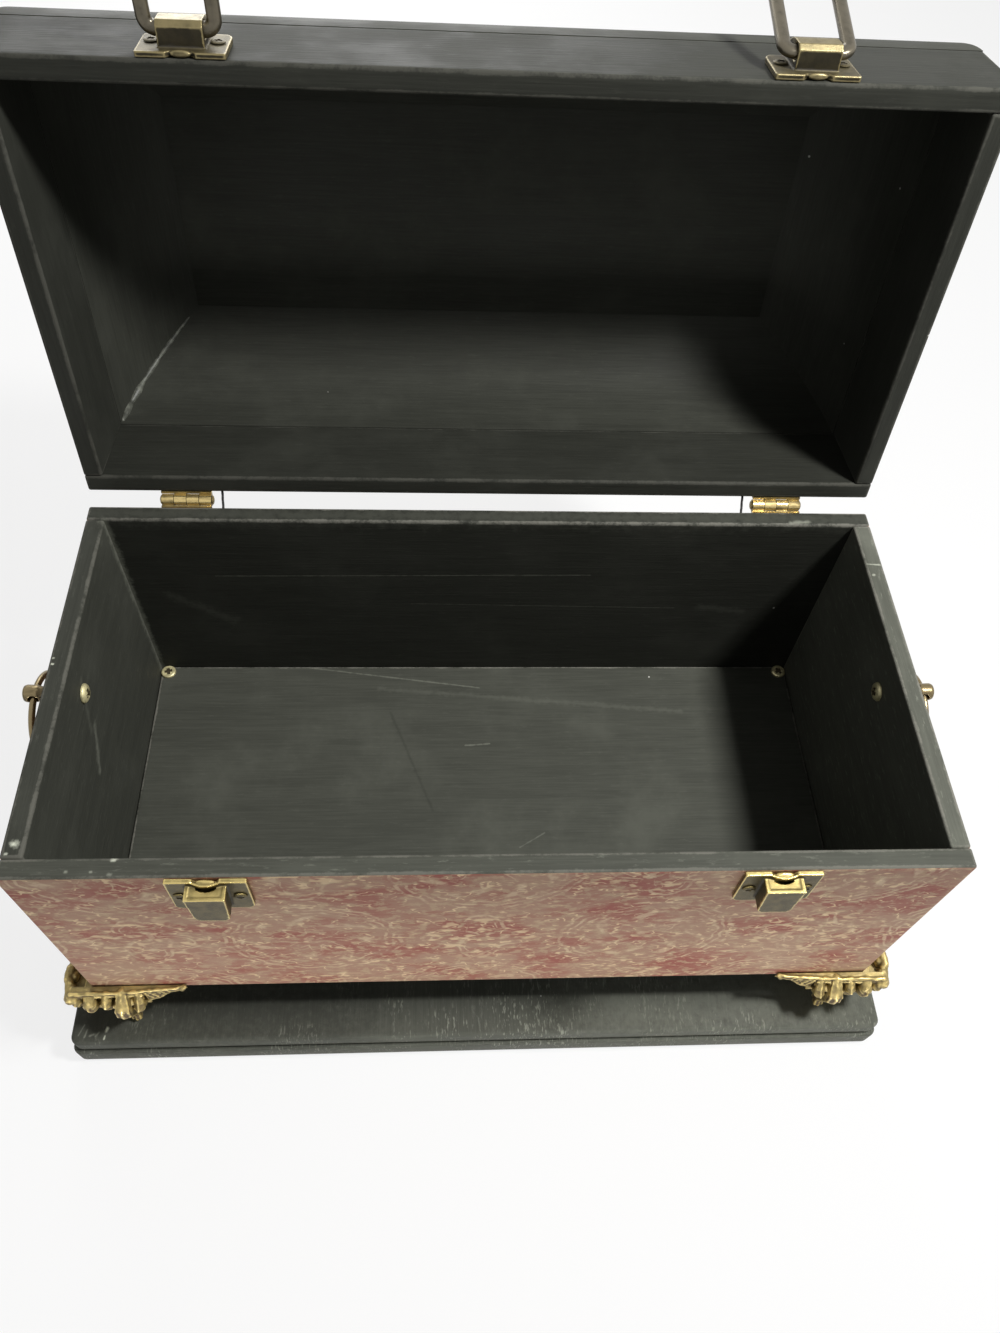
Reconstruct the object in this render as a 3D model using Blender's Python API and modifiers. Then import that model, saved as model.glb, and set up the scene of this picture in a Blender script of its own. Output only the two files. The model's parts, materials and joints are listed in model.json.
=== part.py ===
"""Hinged storage box on a plinth: a hipped lid, two loop latches, two drop-ring handles and four cast feet.

Units are metres, +Z is up and -Y is the front. The origin is the middle of the plinth's underside.
The lid is built closed around its hinge axis and then turned open, as it stands when someone looks in.
"""
import math

import bmesh
import bpy
from mathutils import Matrix, Vector

# Box
BOX_WIDTH = 0.400
BOX_DEPTH = 0.199
BOX_HEIGHT = 0.140
WALL = 0.009
FLOOR_THICKNESS = 0.010
SEAM = 0.0003
ARRIS = 0.0006

# Plinth
PLINTH_OVERHANG = 0.0203
PLINTH_TOP_THICKNESS = 0.012
PLINTH_LOWER_THICKNESS = 0.014
PLINTH_TOP_INSET = 0.0017
PLINTH_CORNER_RADIUS = 0.007
PLINTH_TOP_ROUND = 0.0025
PLINTH_LOWER_ROUND = 0.002

# Feet: lobes are (width, drop) in order from the corner along each wing, and knees are lumps that
# swell out of them, as (distance along the wing, half width, swell, drop of the middle, half height)
FOOT_HEIGHT = 0.036
FOOT_FRONT_PROUD = 0.0045
FOOT_SIDE_PROUD = 0.0110
FOOT_LIP = 0.005
FOOT_CORNER_STEP = 0.0005
FOOT_WING_LENGTH = 0.058
FOOT_WING_ROOT_DROP = 0.014
FOOT_WING_TIP_DROP = 0.001
FOOT_BLOCK_SIDE = 0.026
FOOT_BLOCK_DROP = 0.020
FOOT_LOBES = ((0.0058, 0.013), (0.0084, 0.022), (0.0074, 0.019), (0.0094, FOOT_HEIGHT), (0.0060, 0.024))
FOOT_KNEES = (
    (0.0100, 0.0040, 0.0065, 0.0050, 0.0075),
    (0.0179, 0.0030, 0.0055, 0.0050, 0.0070),
    (0.0263, 0.0042, 0.0090, 0.0080, 0.0110),
    (0.0340, 0.0030, 0.0075, 0.0080, 0.0070),
)
FOOT_SIDE_SWELL = 0.3

# Lid
LID_DEPTH = 0.197
LID_RAIL_HEIGHT = 0.045
LID_COVE_RADIUS = 0.060
LID_COVE_SWEEP = math.radians(68.0)
LID_COVE_STEPS = 12
LID_OPEN = math.radians(98.3)

# Hinges
HINGE_FROM_END = 0.048
HINGE_LENGTH = 0.025
HINGE_AXIS_BEHIND = 0.0049
HINGE_KNUCKLES = 4
KNUCKLE_RADIUS = 0.0030
KNUCKLE_GAP = 0.0003
HINGE_PIN_RADIUS = 0.0013
HINGE_PIN_HEAD = 0.0008
HINGE_PIN_CLEARANCE = 0.0002
LEAF_THICKNESS = 0.0012
LEAF_DEPTH = 0.020
LEAF_EDGE_GAP = 0.0006

# Lid stay cords
CORD_FROM_END = 0.0655
CORD_RADIUS = 0.0007
CORD_BOX_DROP = 0.006
CORD_LID_RISE = 0.0034

# Latches
LATCH_FROM_END = 0.0822
LID_LATCH_FROM_END = 0.0812
LATCH_WIDTH = 0.033
LATCH_PLATE = 0.0020
LATCH_EAR_ROUND = 0.003
BOX_PLATE_HEIGHT = 0.027
LID_PLATE_HEIGHT = 0.022
PLATE_NOTCH_WIDTH = 0.011
PLATE_NOTCH_DEPTH = 0.0022
KEEPER_WIDTH = 0.0165
KEEPER_FOOT_WIDTH = 0.0145
KEEPER_PROUD = 0.0085
KEEPER_TOP = 0.0028
KEEPER_BOTTOM = 0.0245
KEEPER_SCOOP_RADIUS = 0.0065
KEEPER_SCOOP_DEPTH = 0.008
KEEPER_SCOOP_REACH = 0.0046
LATCH_BLOCK_WIDTH = 0.017
LATCH_BLOCK_START = 0.0045
LATCH_BLOCK_LENGTH = 0.0165
LATCH_BLOCK_PROUD = 0.0108
LATCH_BLOCK_TAIL = 0.0056
LOOP_PIVOT_PROUD = 0.0072
LOOP_PIVOT_RISE = 0.0092
LOOP_INSIDE_WIDTH = 0.0200
LOOP_REACH = 0.0352
LOOP_WIRE_WIDTH = 0.0054
LOOP_WIRE_THICKNESS = 0.0040
LOOP_CORNER_RADIUS = 0.0062
LOOP_CLEARANCE = 0.0003
LOOP_LEFT_TURN = math.radians(84.7)
LOOP_RIGHT_TURN = math.radians(158.7)
LATCH_SCREW_X = 0.0122
BOX_SCREW_DROP = 0.0135
LID_SCREW_RISE = 0.0125

# Handles
HANDLE_Y = 0.0025
HANDLE_DROP = 0.023
POST_BASE_RADIUS = 0.0120
POST_BASE_HEIGHT = 0.0050
POST_BASE_EDGE = 0.0015
POST_RADIUS = 0.0042
POST_LENGTH = 0.0180
EYE_RADIUS = 0.0024
EYE_FROM_TIP = 0.0050
RING_RADIUS = 0.0215
RING_WIRE_RADIUS = 0.0015
BOLT_HEAD_RADIUS = 0.0047
BOLT_HEAD_HEIGHT = 0.0024
BOLT_SHANK_RADIUS = 0.0018
BOLT_BITE = 0.0075
BOLT_CLEARANCE = 0.0003

# Screws
FLOOR_SCREW_HEAD_RADIUS = 0.0043
FLOOR_SCREW_HEAD_HEIGHT = 0.0014
FLOOR_SCREW_SHANK_RADIUS = 0.0019
FLOOR_SCREW_BITE = 0.012
FLOOR_SCREW_INSET = 0.0047
LATCH_SCREW_HEAD_RADIUS = 0.0029
LATCH_SCREW_HEAD_HEIGHT = 0.0006
LATCH_SCREW_SHANK_RADIUS = 0.0010
LATCH_SCREW_BITE = 0.0065
HINGE_SCREW_HEAD_RADIUS = 0.0025
HINGE_SCREW_HEAD_HEIGHT = 0.0007
HINGE_SCREW_SHANK_RADIUS = 0.0009
HINGE_SCREW_BITE = 0.0065
HINGE_SCREW_X = 0.0072
HINGE_SCREW_OFF = 0.0125
SCREW_CLEARANCE = 0.0003

# Shares of a size that shape the heads, tails and crowns of small pieces
HEAD_SHOULDER_ACROSS = 0.65
HEAD_SHOULDER_UP = 0.85
HEAD_RIM_UP = 0.30
SHANK_STRAIGHT = 0.75
PIN_CROWN_ACROSS = 0.60
PIN_HEAD_ACROSS = 0.80
NOTCH_ROOT_ACROSS = 0.60
BLOCK_EASE = 0.18
BLOCK_FLAT = 0.40
POST_END_EASE = 0.40
POST_DOME_ACROSS = 0.72
POST_DOME_UP = 0.75
WING_TAIL_POWER = 1.4
CUT_THROUGH = 6

# Facets of round pieces, edge angles and the weld distance
ROUND_STEPS = 24
MEDIUM_ROUND_STEPS = 16
SMALL_ROUND_STEPS = 12
ARC_STEPS = 5
RING_STEPS = 40
RING_WIRE_STEPS = 10
WIRE_RESOLUTION = 2
ROUNDED_ANGLE = math.radians(50)
SMOOTH_ANGLE = math.radians(35)
WELD = 1e-6
MARKER_SIZE = 0.02

# Heights worked out from the sizes above
PLINTH_TOP_Z = PLINTH_LOWER_THICKNESS + SEAM + PLINTH_TOP_THICKNESS
BOX_BOTTOM_Z = PLINTH_TOP_Z + SEAM + FOOT_HEIGHT
FLOOR_TOP_Z = BOX_BOTTOM_Z + FLOOR_THICKNESS
RIM_Z = BOX_BOTTOM_Z + BOX_HEIGHT
LID_Z = RIM_Z + SEAM
COVE_Z = LID_Z + LID_RAIL_HEIGHT + SEAM
HALF_WIDTH = BOX_WIDTH / 2
HALF_DEPTH = BOX_DEPTH / 2
INNER_HALF_WIDTH = HALF_WIDTH - WALL
INNER_HALF_DEPTH = HALF_DEPTH - WALL
LID_HALF_DEPTH = LID_DEPTH / 2
LID_Y = HALF_DEPTH - LID_HALF_DEPTH
LID_FRONT_Y = LID_Y - LID_HALF_DEPTH
HINGE_X = HALF_WIDTH - HINGE_FROM_END
HINGE_Y = HALF_DEPTH + HINGE_AXIS_BEHIND
CORD_X = HALF_WIDTH - CORD_FROM_END
LATCH_X = HALF_WIDTH - LATCH_FROM_END
LID_LATCH_X = HALF_WIDTH - LID_LATCH_FROM_END
HANDLE_Z = RIM_Z - HANDLE_DROP

# Turns that lay an outline drawn in X and Y onto another plane
FACING_FRONT = Matrix(((1, 0, 0), (0, 0, -1), (0, 1, 0))).to_4x4()
FACING_SIDE = Matrix(((0, 0, 1), (1, 0, 0), (0, 1, 0))).to_4x4()
FLAT = Matrix.Identity(4)


def clear_scene():
    """Empty the scene of objects, collections and loose data."""
    for item in list(bpy.data.objects):
        bpy.data.objects.remove(item)
    for group in list(bpy.data.collections):
        bpy.data.collections.remove(group)
    for store in (bpy.data.meshes, bpy.data.curves, bpy.data.materials):
        for item in list(store):
            store.remove(item)


clear_scene()
PARTS = bpy.data.collections.new("hinged_storage_box")
CUTTERS = bpy.data.collections.new("cutters")
bpy.context.scene.collection.children.link(PARTS)
bpy.context.scene.collection.children.link(CUTTERS)


def material(name, colour, roughness, metallic):
    """A plain Principled material."""
    made = bpy.data.materials.new(name)
    made.use_nodes = True
    shader = made.node_tree.nodes["Principled BSDF"]
    shader.inputs["Base Color"].default_value = (*colour, 1.0)
    shader.inputs["Roughness"].default_value = roughness
    shader.inputs["Metallic"].default_value = metallic
    return made


BLACK_PAINT = material("black_paint", (0.030, 0.032, 0.028), 0.55, 0.0)
RED_COVERING = material("red_covering", (0.300, 0.100, 0.070), 0.60, 0.0)
GILDING = material("gilding", (0.520, 0.360, 0.120), 0.40, 0.6)
AGED_BRASS = material("aged_brass", (0.350, 0.280, 0.130), 0.35, 1.0)
BRIGHT_BRASS = material("bright_brass", (0.700, 0.520, 0.200), 0.30, 1.0)
CORD_BLACK = material("cord_black", (0.020, 0.020, 0.020), 0.80, 0.0)


def empty(name, location, parent=None):
    """An axis marker that carries the pieces turning about it."""
    marker = bpy.data.objects.new(name, None)
    PARTS.objects.link(marker)
    marker.empty_display_size = MARKER_SIZE
    marker.location = location
    hang_on(marker, parent)
    return marker


def hang_on(item, parent):
    """Parent an item that was placed in world coordinates, before any axis is turned."""
    if parent is None:
        return
    bpy.context.view_layer.update()
    item.parent = parent
    item.matrix_parent_inverse = parent.matrix_world.inverted()


def place(name, mesh, finish, location=(0, 0, 0), parent=None):
    """A named sub-part from a mesh."""
    item = bpy.data.objects.new(name, mesh)
    PARTS.objects.link(item)
    item.location = location
    if not mesh.materials:
        mesh.materials.append(finish)
    hang_on(item, parent)
    return item


def tool(mesh, location=(0, 0, 0), parent=None):
    """A cutter or a shape to be joined, kept out of the model."""
    item = bpy.data.objects.new("shape", mesh)
    CUTTERS.objects.link(item)
    item.location = location
    item.hide_render = True
    item.display_type = "WIRE"
    hang_on(item, parent)
    return item


def boolean(item, operand, operation):
    """Cut, join or intersect one object with another."""
    step = item.modifiers.new(operation.lower(), "BOOLEAN")
    step.operation = operation
    step.solver = "EXACT"
    step.object = operand


def bevelled(item, width, segments):
    """Round the sharp edges of an object."""
    step = item.modifiers.new("rounding", "BEVEL")
    step.width = width
    step.segments = segments
    step.limit_method = "ANGLE"
    step.angle_limit = ROUNDED_ANGLE


def baked(item):
    """The evaluated mesh of an object in its own space, with doubled points welded."""
    bpy.context.view_layer.update()
    graph = bpy.context.evaluated_depsgraph_get()
    mesh = bpy.data.meshes.new_from_object(item.evaluated_get(graph))
    work = bmesh.new()
    work.from_mesh(mesh)
    bmesh.ops.remove_doubles(work, verts=work.verts, dist=WELD)
    bmesh.ops.recalc_face_normals(work, faces=work.faces)
    work.to_mesh(mesh)
    work.free()
    return mesh


def finished(work):
    """A mesh from a bmesh, which is freed."""
    mesh = bpy.data.meshes.new("mesh")
    work.to_mesh(mesh)
    work.free()
    return mesh


def box_mesh(size):
    """A cuboid about its own centre."""
    work = bmesh.new()
    bmesh.ops.create_cube(work, size=1.0)
    bmesh.ops.scale(work, vec=size, verts=work.verts)
    return finished(work)


def lump_mesh(half_width, front, back, half_height):
    """A stretched ball that reaches further to the front than to the back."""
    work = bmesh.new()
    bmesh.ops.create_uvsphere(work, u_segments=SMALL_ROUND_STEPS, v_segments=SMALL_ROUND_STEPS // 2, radius=1)
    for vertex in work.verts:
        reach = back if vertex.co.y > 0 else front
        vertex.co = (vertex.co.x * half_width, vertex.co.y * reach, vertex.co.z * half_height)
    return finished(work)


def rod_mesh(radius, length, axis, steps=ROUND_STEPS):
    """A cylinder about its own centre, along X, Y or Z."""
    turns = {"X": Matrix.Rotation(math.pi / 2, 4, "Y"), "Y": Matrix.Rotation(math.pi / 2, 4, "X"), "Z": FLAT}
    work = bmesh.new()
    bmesh.ops.create_cone(
        work, cap_ends=True, segments=steps, radius1=radius, radius2=radius, depth=length, matrix=turns[axis]
    )
    return finished(work)


def outline_mesh(points, depth, turn):
    """A flat outline given depth, laid on a plane and centred on it."""
    curve = bpy.data.curves.new("outline", "CURVE")
    curve.dimensions = "2D"
    curve.fill_mode = "BOTH"
    curve.extrude = depth / 2
    spline = curve.splines.new("POLY")
    spline.points.add(len(points) - 1)
    spline.use_cyclic_u = True
    for target, (across, up) in zip(spline.points, points):
        target.co = (across, up, 0, 1)
    drawn = bpy.data.objects.new("outline", curve)
    CUTTERS.objects.link(drawn)
    mesh = baked(drawn)
    bpy.data.objects.remove(drawn)
    mesh.transform(turn)
    mesh.materials.clear()
    return mesh


def arc(centre, radius, start, end, steps=ARC_STEPS):
    """Points along an arc, both ends included, angles in degrees."""
    points = []
    for step in range(steps + 1):
        angle = math.radians(start + (end - start) * step / steps)
        points.append((centre[0] + radius * math.cos(angle), centre[1] + radius * math.sin(angle)))
    return points


def rounded_rectangle(width, height, radius):
    """The outline of a rectangle about its centre, with round corners."""
    across, up = width / 2 - radius, height / 2 - radius
    points = []
    for turn, (x, y) in enumerate(((across, up), (-across, up), (-across, -up), (across, -up))):
        points += arc((x, y), radius, 90 * turn, 90 * turn + 90)
    return points


def smooth(mesh):
    """Shade a round piece smooth, with its sharp edges kept."""
    mesh.shade_smooth()
    mesh.set_sharp_from_angle(angle=SMOOTH_ANGLE)


def turned(name, profile, finish, steps, matrix, parent=None):
    """A lathe piece: a profile of (radius, height) turned about its own Z axis."""
    mesh = bpy.data.meshes.new(name)
    points = [(radius, 0, height) for radius, height in profile]
    edges = [(at, at + 1) for at in range(len(points) - 1)]
    mesh.from_pydata(points, edges, [])
    mesh.materials.append(finish)
    item = bpy.data.objects.new(name, mesh)
    PARTS.objects.link(item)
    item.matrix_world = matrix
    lathe = item.modifiers.new("lathe", "SCREW")
    lathe.axis = "Z"
    lathe.steps = steps
    lathe.render_steps = steps
    lathe.use_merge_vertices = True
    lathe.merge_threshold = WELD
    lathe.use_smooth_shade = True
    hang_on(item, parent)
    return item


def pointing(direction, location):
    """A frame at a place whose Z axis points along a direction."""
    turn = Vector(direction).to_track_quat("Z", "Y").to_matrix().to_4x4()
    return Matrix.Translation(Vector(location)) @ turn


def tube_mesh(points, radius, cyclic):
    """A round wire along points, closed at its ends."""
    curve = bpy.data.curves.new("wire", "CURVE")
    curve.dimensions = "3D"
    curve.bevel_depth = radius
    curve.bevel_resolution = WIRE_RESOLUTION
    curve.use_fill_caps = not cyclic
    spline = curve.splines.new("POLY")
    spline.points.add(len(points) - 1)
    spline.use_cyclic_u = cyclic
    for target, point in zip(spline.points, points):
        target.co = (*point, 1)
    drawn = bpy.data.objects.new("wire", curve)
    CUTTERS.objects.link(drawn)
    mesh = baked(drawn)
    bpy.data.objects.remove(drawn)
    mesh.materials.clear()
    return mesh


def build_plinth():
    """Two boards under the feet, the top one set back a little from the lower."""
    width = BOX_WIDTH + 2 * PLINTH_OVERHANG
    depth = BOX_DEPTH + 2 * PLINTH_OVERHANG
    low = outline_mesh(rounded_rectangle(width, depth, PLINTH_CORNER_RADIUS), PLINTH_LOWER_THICKNESS, FLAT)
    board = place("plinth_lower_board", low, BLACK_PAINT, (0, 0, PLINTH_LOWER_THICKNESS / 2))
    bevelled(board, PLINTH_LOWER_ROUND, 3)
    width -= 2 * PLINTH_TOP_INSET
    depth -= 2 * PLINTH_TOP_INSET
    top = outline_mesh(rounded_rectangle(width, depth, PLINTH_CORNER_RADIUS), PLINTH_TOP_THICKNESS, FLAT)
    board = place("plinth_top_board", top, BLACK_PAINT, (0, 0, PLINTH_TOP_Z - PLINTH_TOP_THICKNESS / 2))
    bevelled(board, PLINTH_TOP_ROUND, 3)


def foot_wing_outline():
    """The face of one wing: a straight lip, hanging lobes near the corner and a tapering tail."""
    points = [(0, FOOT_LIP)]
    at = 0.0
    for width, drop in FOOT_LOBES:
        radius = width / 2
        points += arc((at + radius, -drop + radius), radius, 180, 360)
        at += width
    for step in range(ARC_STEPS + 1):
        share = step / ARC_STEPS
        fall = (FOOT_WING_ROOT_DROP - FOOT_WING_TIP_DROP) * (1 - share) ** WING_TAIL_POWER
        points.append((at + (FOOT_WING_LENGTH - at) * share, -FOOT_WING_TIP_DROP - fall))
    points.append((FOOT_WING_LENGTH, FOOT_LIP))
    return points


def foot_wing(proud, start, swell):
    """One wing along +X and its knees: its back keeps a gap to the box's face and it stands proud of it."""
    wing = outline_mesh(foot_wing_outline(), proud - SEAM, FACING_FRONT)
    wing.transform(Matrix.Translation((start, -(proud + SEAM) / 2, 0)))
    shapes = [wing]
    for along, half_width, out, drop, half_height in FOOT_KNEES:
        knee = lump_mesh(half_width, out * swell, proud / 2, half_height)
        knee.transform(Matrix.Translation((start + along, -proud, -drop)))
        shapes.append(knee)
    return shapes


def foot_mesh():
    """The front left foot, with the box's bottom corner at the origin and its wings along +X and +Y."""
    low_x, low_y = -FOOT_SIDE_PROUD / 2, -FOOT_FRONT_PROUD / 2
    block = box_mesh((FOOT_BLOCK_SIDE - low_x, FOOT_BLOCK_SIDE - low_y, FOOT_BLOCK_DROP - SEAM))
    middle = ((FOOT_BLOCK_SIDE + low_x) / 2, (FOOT_BLOCK_SIDE + low_y) / 2, -(FOOT_BLOCK_DROP + SEAM) / 2)
    block.transform(Matrix.Translation(middle))
    foot = tool(block)
    front = foot_wing(FOOT_FRONT_PROUD, FOOT_CORNER_STEP - FOOT_SIDE_PROUD, 1)
    side = foot_wing(FOOT_SIDE_PROUD, FOOT_CORNER_STEP - FOOT_FRONT_PROUD, FOOT_SIDE_SWELL)
    swap = Matrix(((0, 1, 0), (1, 0, 0), (0, 0, 1))).to_4x4()
    for shape in side:
        shape.transform(Matrix.Translation((0, 0, FOOT_CORNER_STEP)) @ swap)
        shape.flip_normals()
    pilot_radius = FLOOR_SCREW_SHANK_RADIUS + SCREW_CLEARANCE
    pilot_depth = FLOOR_SCREW_BITE + SCREW_CLEARANCE
    screw_at = WALL + FLOOR_SCREW_INSET
    pilot = rod_mesh(pilot_radius, 2 * pilot_depth, "Z", SMALL_ROUND_STEPS)
    shapes = [tool(shape) for shape in front + side]
    for shape in shapes:
        boolean(foot, shape, "UNION")
    shapes.append(tool(pilot, (screw_at, screw_at, 0)))
    boolean(foot, shapes[-1], "DIFFERENCE")
    mesh = baked(foot)
    for shape in (foot, *shapes):
        bpy.data.objects.remove(shape)
    mesh.materials.clear()
    return mesh


CORNERS = (("front_left", -1, -1), ("front_right", 1, -1), ("back_right", 1, 1), ("back_left", -1, 1))


def build_feet():
    """Four feet, each the front left one mirrored into its corner."""
    pattern = foot_mesh()
    for name, side_x, side_y in CORNERS:
        mesh = pattern.copy()
        mesh.transform(Matrix.Diagonal((-side_x, -side_y, 1, 1)))
        if side_x * side_y < 0:
            mesh.flip_normals()
        place("foot_" + name, mesh, GILDING, (side_x * HALF_WIDTH, side_y * HALF_DEPTH, BOX_BOTTOM_Z))


def build_box():
    """Floor and four walls, with the holes for their screws and bolts."""
    inner_width = 2 * INNER_HALF_WIDTH
    inner_depth = 2 * INNER_HALF_DEPTH
    floor_size = (inner_width - 2 * SEAM, inner_depth - 2 * SEAM, FLOOR_THICKNESS)
    floor = place("floor_board", box_mesh(floor_size), BLACK_PAINT, (0, 0, FLOOR_TOP_Z - FLOOR_THICKNESS / 2))
    hole = FLOOR_SCREW_SHANK_RADIUS + SCREW_CLEARANCE
    for _, side_x, side_y in CORNERS:
        drill = rod_mesh(hole, CUT_THROUGH * FLOOR_THICKNESS, "Z", SMALL_ROUND_STEPS)
        boolean(floor, tool(drill, (*floor_screw_place(side_x, side_y), FLOOR_TOP_Z)), "DIFFERENCE")
    middle_z = BOX_BOTTOM_Z + BOX_HEIGHT / 2
    for name, side in (("front", -1), ("back", 1)):
        mesh = box_mesh((BOX_WIDTH, WALL, BOX_HEIGHT))
        wall = place("wall_" + name, mesh, RED_COVERING, (0, side * (HALF_DEPTH - WALL / 2), middle_z))
        bevelled(wall, ARRIS, 1)
        if name == "front":
            drill_pilots(wall, box_latch_screws(), LATCH_SCREW_SHANK_RADIUS, LATCH_SCREW_BITE)
        else:
            drill_pilots(wall, hinge_screw_places(-1), HINGE_SCREW_SHANK_RADIUS, HINGE_SCREW_BITE)
    for name, side in (("left", -1), ("right", 1)):
        mesh = box_mesh((WALL, inner_depth - 2 * SEAM, BOX_HEIGHT))
        wall = place("wall_" + name, mesh, RED_COVERING, (side * (HALF_WIDTH - WALL / 2), 0, middle_z))
        bevelled(wall, ARRIS, 1)
        drill = rod_mesh(BOLT_SHANK_RADIUS + BOLT_CLEARANCE, CUT_THROUGH * WALL, "X", SMALL_ROUND_STEPS)
        boolean(wall, tool(drill, (side * HALF_WIDTH, HANDLE_Y, HANDLE_Z)), "DIFFERENCE")


def floor_screw_place(side_x, side_y):
    """Where a floor screw stands in its corner, seen from above."""
    x = side_x * (INNER_HALF_WIDTH - FLOOR_SCREW_INSET)
    y = side_y * (INNER_HALF_DEPTH - FLOOR_SCREW_INSET)
    return x, y


def latch_screw_places(centre, face_y, height):
    """The four latch screws of one row, on a front face."""
    places = []
    for side, side_x in (("left", -centre), ("right", centre)):
        for ear, offset in (("outer", -LATCH_SCREW_X), ("inner", LATCH_SCREW_X)):
            shift = offset if side == "left" else -offset
            places.append((side + "_" + ear, (side_x + shift, face_y, height)))
    return places


def box_latch_screws():
    """Where the screws of the box's latch plates stand."""
    return latch_screw_places(LATCH_X, -HALF_DEPTH, RIM_Z - BOX_SCREW_DROP)


def lid_latch_screws():
    """Where the screws of the lid's latch plates stand, with the lid closed."""
    return latch_screw_places(LID_LATCH_X, LID_FRONT_Y, LID_Z + LID_SCREW_RISE)


def hinge_screw_places(side):
    """The four hinge screws of one row, on the back face; side is -1 below the rim and 1 above it."""
    places = []
    for hand, centre in (("left", -HINGE_X), ("right", HINGE_X)):
        for end, offset in (("outer", -HINGE_SCREW_X), ("inner", HINGE_SCREW_X)):
            shift = offset if hand == "left" else -offset
            places.append((hand + "_" + end, (centre + shift, HALF_DEPTH, RIM_Z + side * HINGE_SCREW_OFF)))
    return places


def drill_pilots(item, places, shank_radius, bite, parent=None):
    """Blind pilot holes along Y for one row of screws."""
    depth = bite + SCREW_CLEARANCE
    for _, spot in places:
        drill = rod_mesh(shank_radius + SCREW_CLEARANCE, 2 * depth, "Y", SMALL_ROUND_STEPS)
        boolean(item, tool(drill, spot, parent), "DIFFERENCE")


def screw_profile(head_radius, head_height, shank_radius, shank_length):
    """A domed screw: head above zero, shank below."""
    crown = (0.0, head_height)
    shoulder = (head_radius * HEAD_SHOULDER_ACROSS, head_height * HEAD_SHOULDER_UP)
    rim = (head_radius, head_height * HEAD_RIM_UP)
    under = (head_radius, 0.0)
    neck = (shank_radius, 0.0)
    taper = (shank_radius, -shank_length * SHANK_STRAIGHT)
    tip = (0.0, -shank_length)
    return (crown, shoulder, rim, under, neck, taper, tip)


def build_screws(lid_axis):
    """Screws through the floor into the feet, and those of the latch plates and hinges."""
    reach = SEAM + FLOOR_THICKNESS + SEAM + FLOOR_SCREW_BITE
    profile = screw_profile(FLOOR_SCREW_HEAD_RADIUS, FLOOR_SCREW_HEAD_HEIGHT, FLOOR_SCREW_SHANK_RADIUS, reach)
    for name, side_x, side_y in CORNERS:
        spot = (*floor_screw_place(side_x, side_y), FLOOR_TOP_Z + SEAM)
        turned("floor_screw_" + name, profile, BRIGHT_BRASS, SMALL_ROUND_STEPS, pointing((0, 0, 1), spot))
    reach = 2 * SEAM + LATCH_PLATE + LATCH_SCREW_BITE
    profile = screw_profile(LATCH_SCREW_HEAD_RADIUS, LATCH_SCREW_HEAD_HEIGHT, LATCH_SCREW_SHANK_RADIUS, reach)
    lift = Vector((0, -(2 * SEAM + LATCH_PLATE), 0))
    for row, places, parent in (("box", box_latch_screws(), None), ("lid", lid_latch_screws(), lid_axis)):
        for name, spot in places:
            frame = pointing((0, -1, 0), Vector(spot) + lift)
            turned("latch_screw_" + row + "_" + name, profile, AGED_BRASS, SMALL_ROUND_STEPS, frame, parent)
    reach = 2 * SEAM + LEAF_THICKNESS + HINGE_SCREW_BITE
    profile = screw_profile(HINGE_SCREW_HEAD_RADIUS, HINGE_SCREW_HEAD_HEIGHT, HINGE_SCREW_SHANK_RADIUS, reach)
    lift = Vector((0, 2 * SEAM + LEAF_THICKNESS, 0))
    for row, side, parent in (("box", -1, None), ("lid", 1, lid_axis)):
        for name, spot in hinge_screw_places(side):
            frame = pointing((0, 1, 0), Vector(spot) + lift)
            turned("hinge_screw_" + row + "_" + name, profile, BRIGHT_BRASS, SMALL_ROUND_STEPS, frame, parent)


def cove_profile():
    """Section of a cove panel: inset from the outer face, height above the rail."""
    sweep = math.degrees(LID_COVE_SWEEP)
    centre = (WALL + LID_COVE_RADIUS, 0.0)
    outer = arc(centre, LID_COVE_RADIUS + WALL, 180, 180 - sweep, LID_COVE_STEPS)
    inner = arc(centre, LID_COVE_RADIUS, 180 - sweep, 180, LID_COVE_STEPS)
    return outer + inner


def build_lid_frame(lid_axis):
    """Four straight rails that meet the box's rim."""
    middle_z = LID_Z + LID_RAIL_HEIGHT / 2
    for name, side in (("front", -1), ("back", 1)):
        mesh = box_mesh((BOX_WIDTH, WALL, LID_RAIL_HEIGHT))
        spot = (0, LID_Y + side * (LID_HALF_DEPTH - WALL / 2), middle_z)
        rail = place("lid_rail_" + name, mesh, BLACK_PAINT, spot, lid_axis)
        bevelled(rail, ARRIS, 1)
        if name == "front":
            drill_pilots(rail, lid_latch_screws(), LATCH_SCREW_SHANK_RADIUS, LATCH_SCREW_BITE, lid_axis)
        else:
            drill_pilots(rail, hinge_screw_places(1), HINGE_SCREW_SHANK_RADIUS, HINGE_SCREW_BITE, lid_axis)
    for name, side in (("left", -1), ("right", 1)):
        mesh = box_mesh((WALL, 2 * (LID_HALF_DEPTH - WALL - SEAM), LID_RAIL_HEIGHT))
        spot = (side * (HALF_WIDTH - WALL / 2), LID_Y, middle_z)
        rail = place("lid_rail_" + name, mesh, BLACK_PAINT, spot, lid_axis)
        bevelled(rail, ARRIS, 1)


def mitre_plan(half_length, half_depth):
    """Plan of the region kept for one cove: its outer side, drawn in at 45 degrees towards the middle."""
    spare = WALL
    outer = half_length + spare - SEAM
    depth = min(outer, half_depth + spare)
    inner = outer - depth
    start = -half_depth - spare
    points = [(-outer, start), (outer, start), (inner, start + depth)]
    if inner > 0:
        points.append((-inner, start + depth))
    return points


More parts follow.
